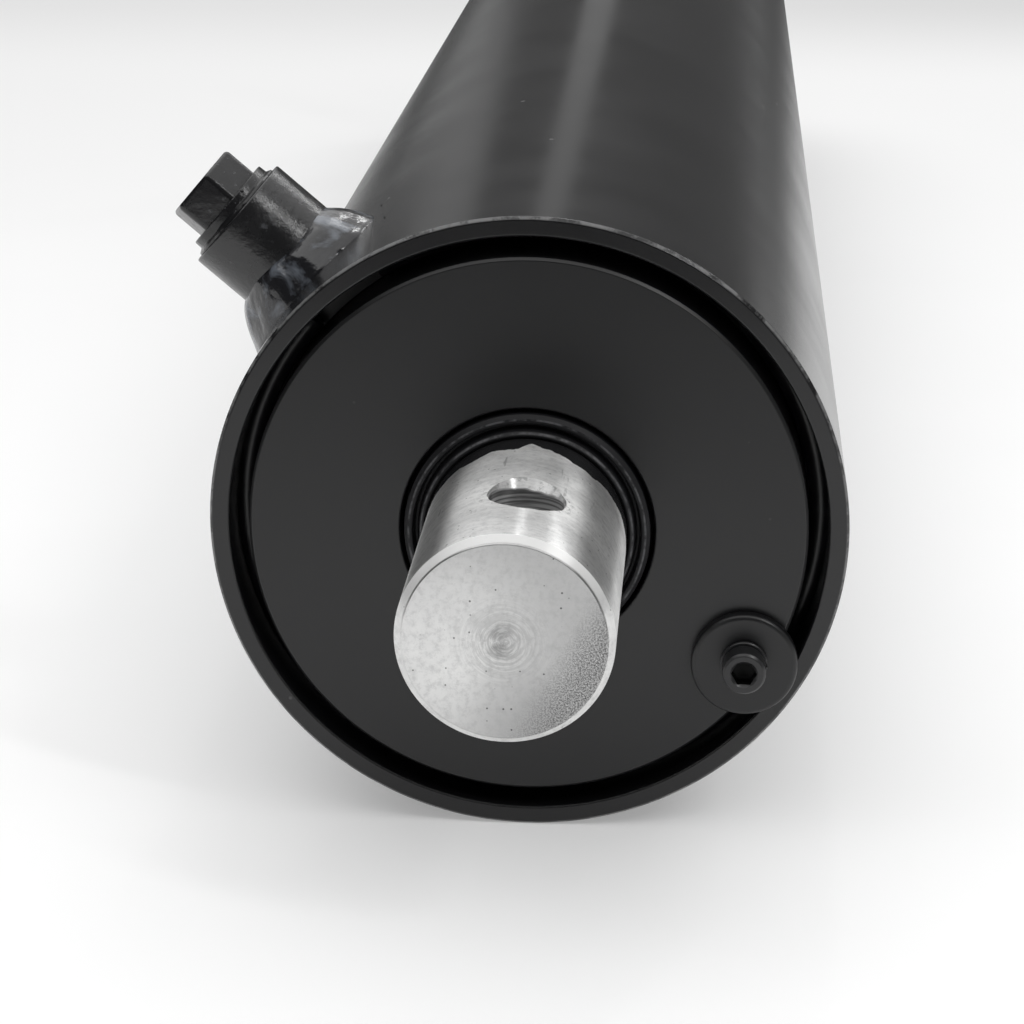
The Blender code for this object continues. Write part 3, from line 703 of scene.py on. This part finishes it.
def make_barrel():
    edge, slope, half_groove = 0.5 * MM, 0.8 * MM, 2.3 * MM
    groove_front, groove_back = RIM + RING_DEPTH - half_groove, RIM + RING_DEPTH + half_groove
    outline = [
        (TUBE_RADIUS - edge, RIM),
        (TUBE_RADIUS, RIM + edge),
        (TUBE_RADIUS, TUBE_BACK - WELD_CHAMFER),
        (TUBE_RADIUS - WELD_CHAMFER, TUBE_BACK),
        (BORE_RADIUS, TUBE_BACK),
        (BORE_RADIUS, RIM + RELIEF_DEPTH),
        (RELIEF_RADIUS, RIM + RELIEF_DEPTH),
        (RELIEF_RADIUS, groove_back),
        (RING_GROOVE_RADIUS, groove_back - slope),
        (RING_GROOVE_RADIUS, groove_front + slope),
        (RELIEF_RADIUS, groove_front),
        (RELIEF_RADIUS, RIM + GAP),
        (RELIEF_RADIUS + GAP, RIM),
    ]
    barrel = lathe("barrel", rounded(outline, 0.3 * MM), MAIN_AXIS, 256)
    finish_piece(barrel, "barrel", "barrel_paint", "barrel_tube")


def make_gland():
    groove_front, groove_back, groove_floor = RIM + 16.5 * MM, RIM + 22.3 * MM, 43.9 * MM
    flange, flange_front = RELIEF_RADIUS - GAP, RIM + 14.1 * MM
    flange_back = RIM + RELIEF_DEPTH - GAP
    wear_front, wear_back, wear_floor = RIM + 19.5 * MM, RIM + 25.5 * MM, 18.3 * MM
    seal_front, seal_back, seal_floor = RIM + 11.5 * MM, RIM + 17.5 * MM, 20.6 * MM
    edge = 0.5 * MM
    outline = [
        (NOSE_RADIUS - edge, RIM),
        (NOSE_RADIUS, RIM + edge),
        (NOSE_RADIUS, flange_front),
        (flange, flange_front),
        (flange, groove_front),
        (groove_floor, groove_front),
        (groove_floor, groove_back),
        (flange, groove_back),
        (flange, flange_back),
        (PILOT_RADIUS, flange_back),
        (PILOT_RADIUS, GLAND_BACK),
        (ROD_CLEARANCE_RADIUS, GLAND_BACK),
        (ROD_CLEARANCE_RADIUS, wear_back),
        (wear_floor, wear_back),
        (wear_floor, wear_front),
        (ROD_CLEARANCE_RADIUS, wear_front),
        (ROD_CLEARANCE_RADIUS, seal_back),
        (seal_floor, seal_back),
        (seal_floor, seal_front),
        (ROD_CLEARANCE_RADIUS, seal_front),
        (ROD_CLEARANCE_RADIUS, RIM + WIPER_SEAT_DEPTH),
        (WIPER_SEAT_RADIUS, RIM + WIPER_SEAT_DEPTH),
        (WIPER_SEAT_RADIUS, RIM, 0.35 * MM),
    ]
    gland = lathe("gland_head", rounded(outline, 0.25 * MM), MAIN_AXIS)
    finish_piece(gland, "barrel", "gland_paint", "gland")


def make_wiper():
    """A snap-in wiper: a proud outer band, a groove, and a lip that leans forward on the rod."""
    seat = RIM + WIPER_SEAT_DEPTH - GAP
    outline = [
        (18.1 * MM, RIM - 1.1 * MM),
        (18.9 * MM, RIM - 1.1 * MM),
        (19.5 * MM, RIM - 0.4 * MM),
        (19.5 * MM, RIM + 3.0 * MM),
        (WIPER_SEAT_RADIUS - GAP, RIM + 3.6 * MM),
        (WIPER_SEAT_RADIUS - GAP, seat),
        (16.9 * MM, seat),
        (16.9 * MM, RIM + 2.5 * MM),
        (SLIDING_RADIUS, RIM - 0.6 * MM),
        (SLIDING_RADIUS, RIM - 1.6 * MM),
        (16.4 * MM, RIM - 2.0 * MM),
        (17.0 * MM, RIM - 1.4 * MM),
        (17.3 * MM, RIM + 0.8 * MM),
        (17.9 * MM, RIM + 0.8 * MM),
    ]
    wiper = lathe("wiper", rounded(outline, 0.25 * MM), MAIN_AXIS)
    finish_piece(wiper, "barrel", "wiper_rubber", "rod_wiper")


def make_retaining_ring():
    """A round wire, open at its upper left, with its ends cut square and a little rounded."""
    sections, sides, end_round = 220, 28, 0.35 * MM
    sweep = math.tau - (RING_GAP_END - RING_GAP_START)
    turn = end_round / RING_CENTRE_RADIUS
    body = bmesh.new()
    rows = []
    stations = [(0.0, 0.75), (turn * 0.3, 0.92), (turn, 1.0)]
    stations += [(turn + (sweep - 2 * turn) * i / sections, 1.0) for i in range(1, sections)]
    stations += [(sweep - turn, 1.0), (sweep - turn * 0.3, 0.92), (sweep, 0.75)]
    for along, share in stations:
        angle = RING_GAP_END + along
        row = []
        for k in range(sides):
            around = math.tau * k / sides
            radius = RING_CENTRE_RADIUS + share * RING_WIRE_RADIUS * math.cos(around)
            depth = RIM + RING_DEPTH + share * RING_WIRE_RADIUS * math.sin(around)
            row.append(body.verts.new((radius * math.cos(angle), depth, radius * math.sin(angle))))
        rows.append(row)
    finish_piece(loft("wire_ring", body, rows), "barrel", "ring_wire", "retaining_ring")


def make_clip():
    """The washer that laps from the gland over the rim, its spring washer and its socket screw."""
    washer_centre, screw_centre = middle("retaining_washer"), middle("lock_screw")
    washer_box, screw_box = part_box("retaining_washer"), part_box("lock_screw")
    spring_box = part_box("lock_washer")
    washer_radius = (washer_box[1].x - washer_box[0].x) / 2
    washer_axis = parallel_axis(washer_centre.x, washer_centre.z)
    screw_axis = parallel_axis(screw_centre.x, screw_centre.z)
    hole = SCREW_SHANK_RADIUS + GAP + 0.7 * MM
    front, back = washer_box[0].y, washer_box[1].y
    outline = [(washer_radius, front, 0.8 * MM), (washer_radius, back), (hole, back), (hole, front)]
    washer = lathe("clip_washer", rounded(outline, 0.15 * MM), washer_axis, 128)
    finish_piece(washer, "barrel", "washer_paint", "retaining_washer")
    make_spring_washer(screw_axis, spring_box)
    make_screw(screw_axis, screw_box[0].y, spring_box[0].y - GAP, screw_box[1].y)


def make_screw(axis, head_front, head_back, tip):
    """A socket cap screw. Its socket is chamfered at the mouth and ends in the drill's cone."""
    edge = 0.4 * MM
    outline = [
        (0, head_front),
        (SCREW_HEAD_RADIUS - edge, head_front),
        (SCREW_HEAD_RADIUS, head_front + edge),
        (SCREW_HEAD_RADIUS, head_back),
        (SCREW_SHANK_RADIUS, head_back),
        (SCREW_SHANK_RADIUS, tip - edge),
        (SCREW_SHANK_RADIUS - edge, tip),
        (0, tip),
    ]
    screw = lathe("clip_screw", rounded(outline, 0.25 * MM, ring=False), axis, 128, ring=False)
    corner, floor = SOCKET_ACROSS_CORNERS / 2, head_front + SOCKET_DEPTH
    socket = prism("socket", polygon(6, corner), head_front - MM, floor, axis)
    chamfer = [
        (0, head_front - MM),
        (corner + 1.15 * MM, head_front - MM),
        (corner - 0.35 * MM, head_front + 0.5 * MM),
        (0, head_front + 0.5 * MM),
    ]
    cone = [(0, floor - 0.4 * MM), (corner * 0.8, floor - 0.4 * MM), (0, floor + 0.7 * MM)]
    mouth = lathe("socket_mouth", chamfer, axis, 64, ring=False)
    pip = lathe("socket_pip", cone, axis, 48, ring=False)
    carve(screw, socket, mouth, pip)
    finish_piece(screw, "barrel", "fastener_paint", "lock_screw")


def make_spring_washer(axis, box):
    """A split ring whose two ends stand a little apart along its axis."""
    inner, outer = SCREW_SHANK_RADIUS + GAP, (box[1].z - box[0].z) / 2
    thickness = (box[1].y - box[0].y) * 0.8
    lift = (box[1].y - box[0].y) - thickness
    stations, split, corner = 90, math.radians(9), 0.12 * MM
    section = [
        (inner, 0.0),
        (inner, thickness),
        (outer - corner, thickness),
        (outer, thickness - corner),
        (outer, corner),
        (outer - corner, 0.0),
    ]
    body = bmesh.new()
    rows = []
    for i in range(stations + 1):
        share = i / stations
        angle = split / 2 + (math.tau - split) * share
        shift = box[0].y + lift * share
        row = [axis @ Vector((r * math.cos(angle), r * math.sin(angle), h + shift)) for r, h in section]
        rows.append([body.verts.new(point) for point in row])
    finish_piece(loft("spring_washer", body, rows), "barrel", "fastener_paint", "lock_washer")


# ---------------------------------------------------------------- the rod


def make_rod():
    outline = [
        (0, 0),
        (ROD_RADIUS - ROD_CHAMFER, 0),
        (ROD_RADIUS, ROD_CHAMFER),
        (ROD_RADIUS, 10 * MM, 0),
        (ROD_RADIUS, 30 * MM, 0),
        (ROD_RADIUS, RIM + 20 * MM, 0),
        (ROD_RADIUS, PISTON_FRONT - GAP),
        (SPIGOT_RADIUS, PISTON_FRONT - GAP),
        (SPIGOT_RADIUS, ROD_BACK - MM),
        (SPIGOT_RADIUS - MM, ROD_BACK),
        (0, ROD_BACK),
    ]
    rod = lathe("piston_rod", rounded(outline, 0.14 * MM, ring=False), MAIN_AXIS, 256, ring=False)
    lean = (math.sin(CROSS_HOLE_LEAN), 0, math.cos(CROSS_HOLE_LEAN))
    side = (math.cos(CROSS_HOLE_LEAN), 0, -math.sin(CROSS_HOLE_LEAN))
    hole_axis = basis(side, (0, 1, 0), lean, (0, CROSS_HOLE_PLACE, 0))
    reach, throat = ROD_RADIUS + 3 * MM, ROD_RADIUS - COUNTERSINK
    wide = CROSS_HOLE_RADIUS + reach - throat

    def drill(angle):
        """The drilled hole and its two countersinks, whose edges are a little torn."""
        torn = 0.22 * MM * noise.noise(Vector((4 * math.cos(angle), 4 * math.sin(angle), 8)))
        outline = [
            (0, -reach),
            (wide + torn, -reach),
            (CROSS_HOLE_RADIUS, -throat + torn),
            (CROSS_HOLE_RADIUS, throat - torn),
            (wide + torn, reach),
            (0, reach),
        ]
        return rounded(outline, 0.2 * MM, ring=False)

    carve(rod, lathe("cross_drill", drill, hole_axis, 96, ring=False))
    finish_piece(rod, "rod", "rod_steel", "rod", sharp=30)


# ---------------------------------------------------------------- the ports


def tube_height(across):
    """How far out the tube's surface is, at this distance to one side of a port's axis."""
    return math.sqrt(TUBE_RADIUS ** 2 - across ** 2)


def make_port(name, axis, seed):
    """A boss with its weld and its plug."""
    foot = 46 * MM
    outline = [
        (BOSS_RADIUS, foot, 0),
        (BOSS_RADIUS, BOSS_TOP),
        (PORT_MOUTH_RADIUS, BOSS_TOP),
        (PORT_THREAD_RADIUS, BOSS_TOP - PORT_MOUTH_DEPTH),
        (PORT_THREAD_RADIUS, foot, 0),
    ]

    def boss_profile(angle):
        """The outline, whose two lowest points are moved out onto the tube's curve."""
        points = rounded(outline, 0.32 * MM)
        return [(r, tube_height(r * math.cos(angle)) - SINK if z <= foot else z) for r, z in points]

    boss = lathe(f"{name}_boss_body", boss_profile, axis, 128)
    finish_piece(boss, "barrel", "boss_paint", f"{name}_boss")
    make_port_weld(name, axis, seed)
    make_plug(name, axis, seed)


def make_port_weld(name, axis, seed):
    """A thick uneven fillet bead round the boss, with its ripples, and spatter on the tube beside it."""
    spans = 14

    def wobble(angle, scale, layer):
        place = Vector((math.cos(angle) * scale, math.sin(angle) * scale, seed + layer))
        return noise.noise(place)

    def profile(angle):
        """The bead's crown from the boss to its toe, which is nearer at the front and at the top."""
        across, back = math.cos(angle), math.sin(angle)
        front, upper = max(0.0, -back), max(0.0, across)
        reach = 6.0 - 1.4 * front - 1.7 * upper + 1.3 * wobble(angle, 1.3, 0) + 0.5 * wobble(angle, 4, 7)
        toe = BOSS_RADIUS + reach * MM
        rise = (6.2 + 1.2 * wobble(angle, 1.1, 3)) * MM
        points = []
        for k in range(spans + 1):
            share = k / spans
            r = BOSS_RADIUS - 0.1 * MM + (toe - BOSS_RADIUS) * share
            swell = math.sin(math.pi * share)
            # Each ripple is the front of a pool that froze, so it leans along the bead.
            ripple = 0.1 * MM * abs(math.sin(11 * angle + 1.6 * share + 2.5 * wobble(angle, 2, 11))) ** 0.5
            lump = noise.noise(Vector((r * 170 * across, r * 170 * back, seed + 20)))
            pimple = noise.noise(Vector((r * 360 * across, r * 360 * back, seed + 31)))
            crown = 1.0 * MM + ripple + 1.1 * MM * lump + 0.45 * MM * pimple
            height = (1 - share) ** 1.1 * rise + crown * swell
            points.append((r, tube_height(r * across) + height - SINK))
        under = [(r, tube_height(r * across) - 0.5 * MM) for r in (toe - 0.2 * MM, BOSS_RADIUS - 0.1 * MM)]
        return points + under

    weld = lathe(f"{name}_weld_bead", profile, axis, 288)
    add_spatter(weld, axis, seed)
    finish_piece(weld, "barrel", "weld_paint", f"{name}_weld", sharp=60)


def add_spatter(weld, axis, seed):
    """Small beads of weld metal stuck to the tube round the toe."""
    body = bmesh.new()
    body.from_mesh(weld.data)
    for i in range(5):
        angle = math.tau * (i * 0.618 + 0.1 * seed)
        reach = BOSS_RADIUS + (7.2 + 2.2 * abs(noise.noise(Vector((i * 1.7, seed, 0.3))))) * MM
        size = (0.16 + 0.2 * abs(noise.noise(Vector((i * 2.3, seed, 5.1))))) * MM
        across, back = reach * math.cos(angle), reach * math.sin(angle)
        made = bmesh.ops.create_icosphere(body, subdivisions=2, radius=size)
        place = axis @ Vector((across, back, tube_height(across) + size * 0.15))
        bmesh.ops.translate(body, verts=made["verts"], vec=place)
    bmesh.ops.recalc_face_normals(body, faces=body.faces)
    body.to_mesh(weld.data)
    body.free()


def make_plug(name, axis, seed):
    """A hex plug with a round collar, the sharp edges of its hexagon rounded."""
    hex_foot = BOSS_TOP + GAP + PLUG_COLLAR_HEIGHT
    shank = PORT_THREAD_RADIUS - GAP
    tip = BOSS_TOP - PLUG_LENGTH
    seal = BOSS_TOP + 0.03 * MM

    def profile(angle):
        """The collar, standing in an uneven skin of paint that has run round its foot."""
        lump = noise.noise(Vector((2.6 * math.cos(angle), 2.6 * math.sin(angle), seed + 40)))
        ragged = noise.noise(Vector((9 * math.cos(angle), 9 * math.sin(angle), seed + 50)))
        skirt = PORT_MOUTH_RADIUS + (0.55 + 0.35 * lump + 0.15 * ragged) * MM
        outline = [
            (0, tip),
            (shank - 0.8 * MM, tip),
            (shank, tip + 0.8 * MM),
            (shank, seal),
            (skirt, seal, 0.05 * MM),
            (skirt - 0.15 * MM, seal + 0.35 * MM, 0.15 * MM),
            (PLUG_COLLAR_RADIUS, seal + (0.75 + 0.25 * lump) * MM, 0.15 * MM),
            (PLUG_COLLAR_RADIUS - (0.06 + 0.06 * ragged) * MM, hex_foot, 0.2 * MM),
            (0, hex_foot),
        ]
        return rounded(outline, 0.3 * MM, ring=False)

    plug = lathe(f"{name}_hex_plug", profile, axis, 160, ring=False)
    head = prism("head", polygon(6, HEX_CORNER_RADIUS, PLUG_TURN), hex_foot - MM, HEX_TOP, axis)
    soften(head, 0.7 * MM)
    carve(plug, head, operation="UNION")
    finish_piece(plug, "barrel", "plug_paint", f"{name}_plug", sharp=30)


# ---------------------------------------------------------------- the base


def cross_axis():
    """Local Z runs along world X, through the cross tube."""
    return basis((0, 0, -1), (0, 1, 0), (1, 0, 0), (0, CROSS_TUBE_PLACE, 0))


def make_base_cap():
    seam = TUBE_BACK + GAP
    outline = [
        (0, CAP_FRONT),
        (PILOT_RADIUS - 1.0 * MM, CAP_FRONT),
        (PILOT_RADIUS, CAP_FRONT + 1.0 * MM),
        (PILOT_RADIUS, seam),
        (TUBE_RADIUS - WELD_CHAMFER, seam),
        (TUBE_RADIUS, seam + WELD_CHAMFER),
        (TUBE_RADIUS, CAP_BACK, 1.0 * MM),
        (0, CAP_BACK),
    ]
    cap = lathe("end_cap", rounded(outline, 0.4 * MM, ring=False), MAIN_AXIS, ring=False)
    reach = TUBE_RADIUS + 5 * MM
    saddle = prism("saddle", polygon(SMALL_STEPS, CROSS_TUBE_RADIUS + GAP / 2), -reach, reach, cross_axis())
    carve(cap, saddle)
    finish_piece(cap, "barrel", "cap_paint", "base_cap")


def make_cap_weld():
    """The bead that fills the V between tube and cap, a little under flush and rippled."""
    centre = TUBE_BACK + GAP / 2
    crown = TUBE_RADIUS - 0.15 * MM
    spans = 10

    def profile(angle):
        ripple = 0.35 * MM * abs(math.sin(44 * angle))
        lump = 0.4 * MM * noise.noise(Vector((2.5 * math.cos(angle), 2.5 * math.sin(angle), 4)))
        half = 3.3 * MM + 0.25 * lump
        points = []
        for k in range(spans + 1):
            share = k / spans * 2 - 1
            dip = 0.9 * MM * share * share + 0.6 * ripple * (1 - abs(share))
            points.append((crown - dip, centre + share * half))
        root = crown - 4 * MM
        return points + [(root, centre + GAP), (root, centre - GAP)]

    weld = lathe("cap_weld_bead", profile, MAIN_AXIS, 352)
    finish_piece(weld, "barrel", "weld_paint", "base_cap_weld", sharp=60)


def make_cross_tube():
    edge, half = 0.8 * MM, CROSS_TUBE_HALF
    outline = [
        (CROSS_TUBE_RADIUS, -half, edge),
        (CROSS_TUBE_RADIUS, half, edge),
        (CROSS_TUBE_BORE, half, edge),
        (CROSS_TUBE_BORE, -half, edge),
    ]
    tube = lathe("pin_tube", rounded(outline, edge), cross_axis())
    finish_piece(tube, "barrel", "cross_tube_paint", "cross_tube")


def make_cross_tube_weld(node, side):
    """A rippled fillet along the cross tube on the cap's back face; side is 1 above and -1 below."""
    half_length, stations, spans = 40 * MM, 160, 10
    root = CROSS_TUBE_PLACE - 0.496 * CROSS_TUBE_RADIUS
    body = bmesh.new()
    rows = []
    for i in range(stations + 1):
        share = i / stations * 2 - 1
        x = half_length * share
        taper = max(0.0, 1 - abs(share) ** 14)
        size = (0.35 + 0.65 * taper) * (1 + 0.08 * noise.noise(Vector((x * 90, side, 3))))
        ripple = 0.3 * MM * abs(math.sin(x / (2.3 * MM)))
        row = []
        for k in range(spans + 1):
            swing = math.sin(math.pi * k / spans)
            turn = math.radians(34 + 26 * k / spans * size)
            place = CROSS_TUBE_PLACE - CROSS_TUBE_RADIUS * math.cos(turn)
            height = CROSS_TUBE_RADIUS * math.sin(turn)
            bulge = swing * (2.2 * MM * size + ripple)
            toe = (1 - k / spans) ** 2 * 3.6 * MM * size
            row.append(body.verts.new((x, place - bulge * 0.25, side * (height + bulge + toe))))
        row.append(body.verts.new((x, root, side * 15 * MM)))
        row.append(body.verts.new((x, CAP_BACK - 0.2 * MM, side * 13 * MM)))
        rows.append(row)
    finish_piece(loft(f"{node}_bead", body, rows), "barrel", "weld_paint", node, sharp=60)


# ---------------------------------------------------------------- CAD pieces that keep their shape


def dress_cad_pieces():
    """Gives every CAD node that is still shown the material of its slot."""
    slots = {part["node"]: part["material_slot"] for part in frame["record"]["subparts"]}
    for name, obj in frame["nodes"].items():
        if obj.hide_render:
            continue
        obj.data.materials.clear()
        obj.data.materials.append(MATERIALS[slots[name]])


# ---------------------------------------------------------------- studio

DOME_LIGHT = 1.6
DOME_LEAN = 0.3
DOME_EDGE = (0.58, 0.76)
DOME_RIGHT_SHARE = 0.68
HORIZON_LIGHT = (0.07, 0.10)
HORIZON_ON_RIGHT = 0.14
FLOOR_GLOW = 0.31
FLOOR_FADE = (0.0, 0.75)
FLOOR_FAR_FADE = (0.74, 1.0)
FLAG_BEHIND = (0.45, 1.25)
FLAG_IN_FRONT = (-0.36, -0.20)
FLAG_SIDES = (0.66, 1.0)
FLAG_MIDDLE = -0.17
BACKDROP_LIGHT = 0.8
FLOOR_HALF = 12.0


def level_sheet(name, height):
    half = FLOOR_HALF
    mesh = bpy.data.meshes.new(name)
    corners = [(-half, -half, height), (half, -half, height), (half, half, height), (-half, half, height)]
    mesh.from_pydata(corners, [], [(0, 1, 2, 3)])
    sheet = bpy.data.objects.new(name, mesh)
    bpy.context.scene.collection.objects.link(sheet)
    return sheet


def make_floor():
    floor = level_sheet("floor", FLOOR)
    look = Look("floor", grey(0.75), 0.8, **{"Specular IOR Level": 0.0})
    soft = look.noise(5.5, detail=3, rough=0.45)
    base = look.mix(look.step(soft, 0.3, 0.7), grey(0.67), grey(0.71))
    # Painted shade: the floor is painted darker towards the back, and darker still at the far right.
    base = look.mix(look.step(look.y, *FLOOR_FADE), base, grey(0.55))
    far = look.times(look.step(look.y, *FLOOR_FAR_FADE), look.step(look.x, -0.25, 0.3, 0.55, 1.0))
    base = look.mix(far, base, grey(0.36))
    # The floor's glow is painted light, which lifts its shadows.
    sockets = {"Emission Color": (1, 1, 1, 1), "Emission Strength": FLOOR_GLOW}
    floor.data.materials.append(look.done(Base_Color=base, **sockets))


def make_flag():
    """A dark sheet just over the floor that only reflections meet. It begins softly behind the cylinder and
    in front of it, so that the paint reflects a floor that darkens with distance."""
    flag = level_sheet("flag", FLOOR + 0.5 * MM)
    look = Look("flag", grey(0.11), 0.9, **{"Specular IOR Level": 0.0})
    behind = look.step(look.y, *FLAG_BEHIND)
    in_front = look.step(look.y, *FLAG_IN_FRONT, 1.0, 0.0)
    inside = look.step(look.math("ABSOLUTE", look.minus(look.x, FLAG_MIDDLE)), *FLAG_SIDES, 1.0, 0.0)
    flag.data.materials.append(look.done(Alpha=look.times(look.math("MAXIMUM", behind, in_front), inside)))
    flag.visible_camera = False
    flag.visible_diffuse = False
    flag.visible_shadow = False
    flag.visible_transmission = False


def softbox(name, place, target, width, height, power):
    light = bpy.data.lights.new(name, "AREA")
    light.shape = "RECTANGLE"
    light.size = width
    light.size_y = height
    light.energy = power
    obj = bpy.data.objects.new(name, light)
    obj.location = place
    obj.rotation_euler = (Vector(target) - Vector(place)).to_track_quat("-Z", "Y").to_euler()
    obj.visible_camera = False
    bpy.context.scene.collection.objects.link(obj)
    return obj


def make_dome():
    """A soft dome that is brightest overhead and leans over from behind, and dims towards the horizon.
    Only its light falls off: the backdrop that the camera sees is plain and pale."""
    world = bpy.data.worlds.new("studio")
    world.use_nodes = True
    bpy.context.scene.world = world
    graph = Graph(world.node_tree, "Generated")
    lean = graph.plus(graph.z, graph.times(graph.y, DOME_LEAN))
    rise = graph.step(lean, *DOME_EDGE)
    side = graph.step(graph.x, -0.5, 0.7, 1.0, DOME_RIGHT_SHARE)
    glow = graph.times(graph.times(rise, side), DOME_LIGHT)
    horizon = graph.step(graph.y, 0.2, 0.8, *HORIZON_LIGHT)
    on_right = graph.step(graph.x, 0.25, 0.75, 0.0, HORIZON_ON_RIGHT)
    light = graph.plus(glow, graph.plus(horizon, on_right))
    seen = graph.node("ShaderNodeLightPath").outputs["Is Camera Ray"]
    background = world.node_tree.nodes["Background"]
    graph.set(background, {"Color": (1, 1, 1, 1), "Strength": graph.blend(seen, light, BACKDROP_LIGHT)})


def make_studio():
    make_dome()
    make_floor()
    make_flag()
    softbox("window_left", (-0.52, 2.6, 0.42), (0, 0.2, 0.05), 0.22, 0.9, 0.13)
    softbox("window_middle", (-0.08, 2.7, 0.42), (0, 0.2, 0.05), 0.13, 0.9, 0.08)
    fill = softbox("fill_front", (0.1, -1.3, 1.4), (0, -0.1, 0), 1.6, 1.2, 4.5)
    fill.visible_glossy = False
    softbox("strip_above", (0.075, 0.765, 0.78), (0, 0.02, 0), 0.03, 0.5, 0.45)
    softbox("strip_right", (0.52, 0.95, 0.66), (0, 0.02, 0), 0.05, 0.5, 0.95)
    softbox("strip_front", (0.67, -0.42, 0.87), (-0.04, 0.08, 0.05), 0.10, 0.4, 2.2)


CAMERA_PLACE = (0.02818, -0.36877, 0.14452)
CAMERA_FORWARD = (-0.06926, 0.94481, -0.32021)
CAMERA_LENS = 98.27


def make_camera():
    data = bpy.data.cameras.new("camera")
    data.lens = CAMERA_LENS
    data.sensor_width = 36
    camera = bpy.data.objects.new("camera", data)
    camera.location = CAMERA_PLACE
    camera.rotation_euler = Vector(CAMERA_FORWARD).to_track_quat("-Z", "Y").to_euler()
    bpy.context.scene.collection.objects.link(camera)
    bpy.context.scene.camera = camera


def main():
    make_camera()
    make_studio()
    bpy.context.scene.view_settings.view_transform = "Standard"
    make_barrel()
    make_gland()
    make_wiper()
    make_retaining_ring()
    make_clip()
    make_rod()
    make_port("rod_port", port_axis("rod_port_face"), 1)
    make_port("base_port", port_axis("base_port_face"), 2)
    make_base_cap()
    make_cap_weld()
    make_cross_tube()
    make_cross_tube_weld("cross_tube_weld_top", 1)
    make_cross_tube_weld("cross_tube_weld_bottom", -1)
    dress_cad_pieces()


main()
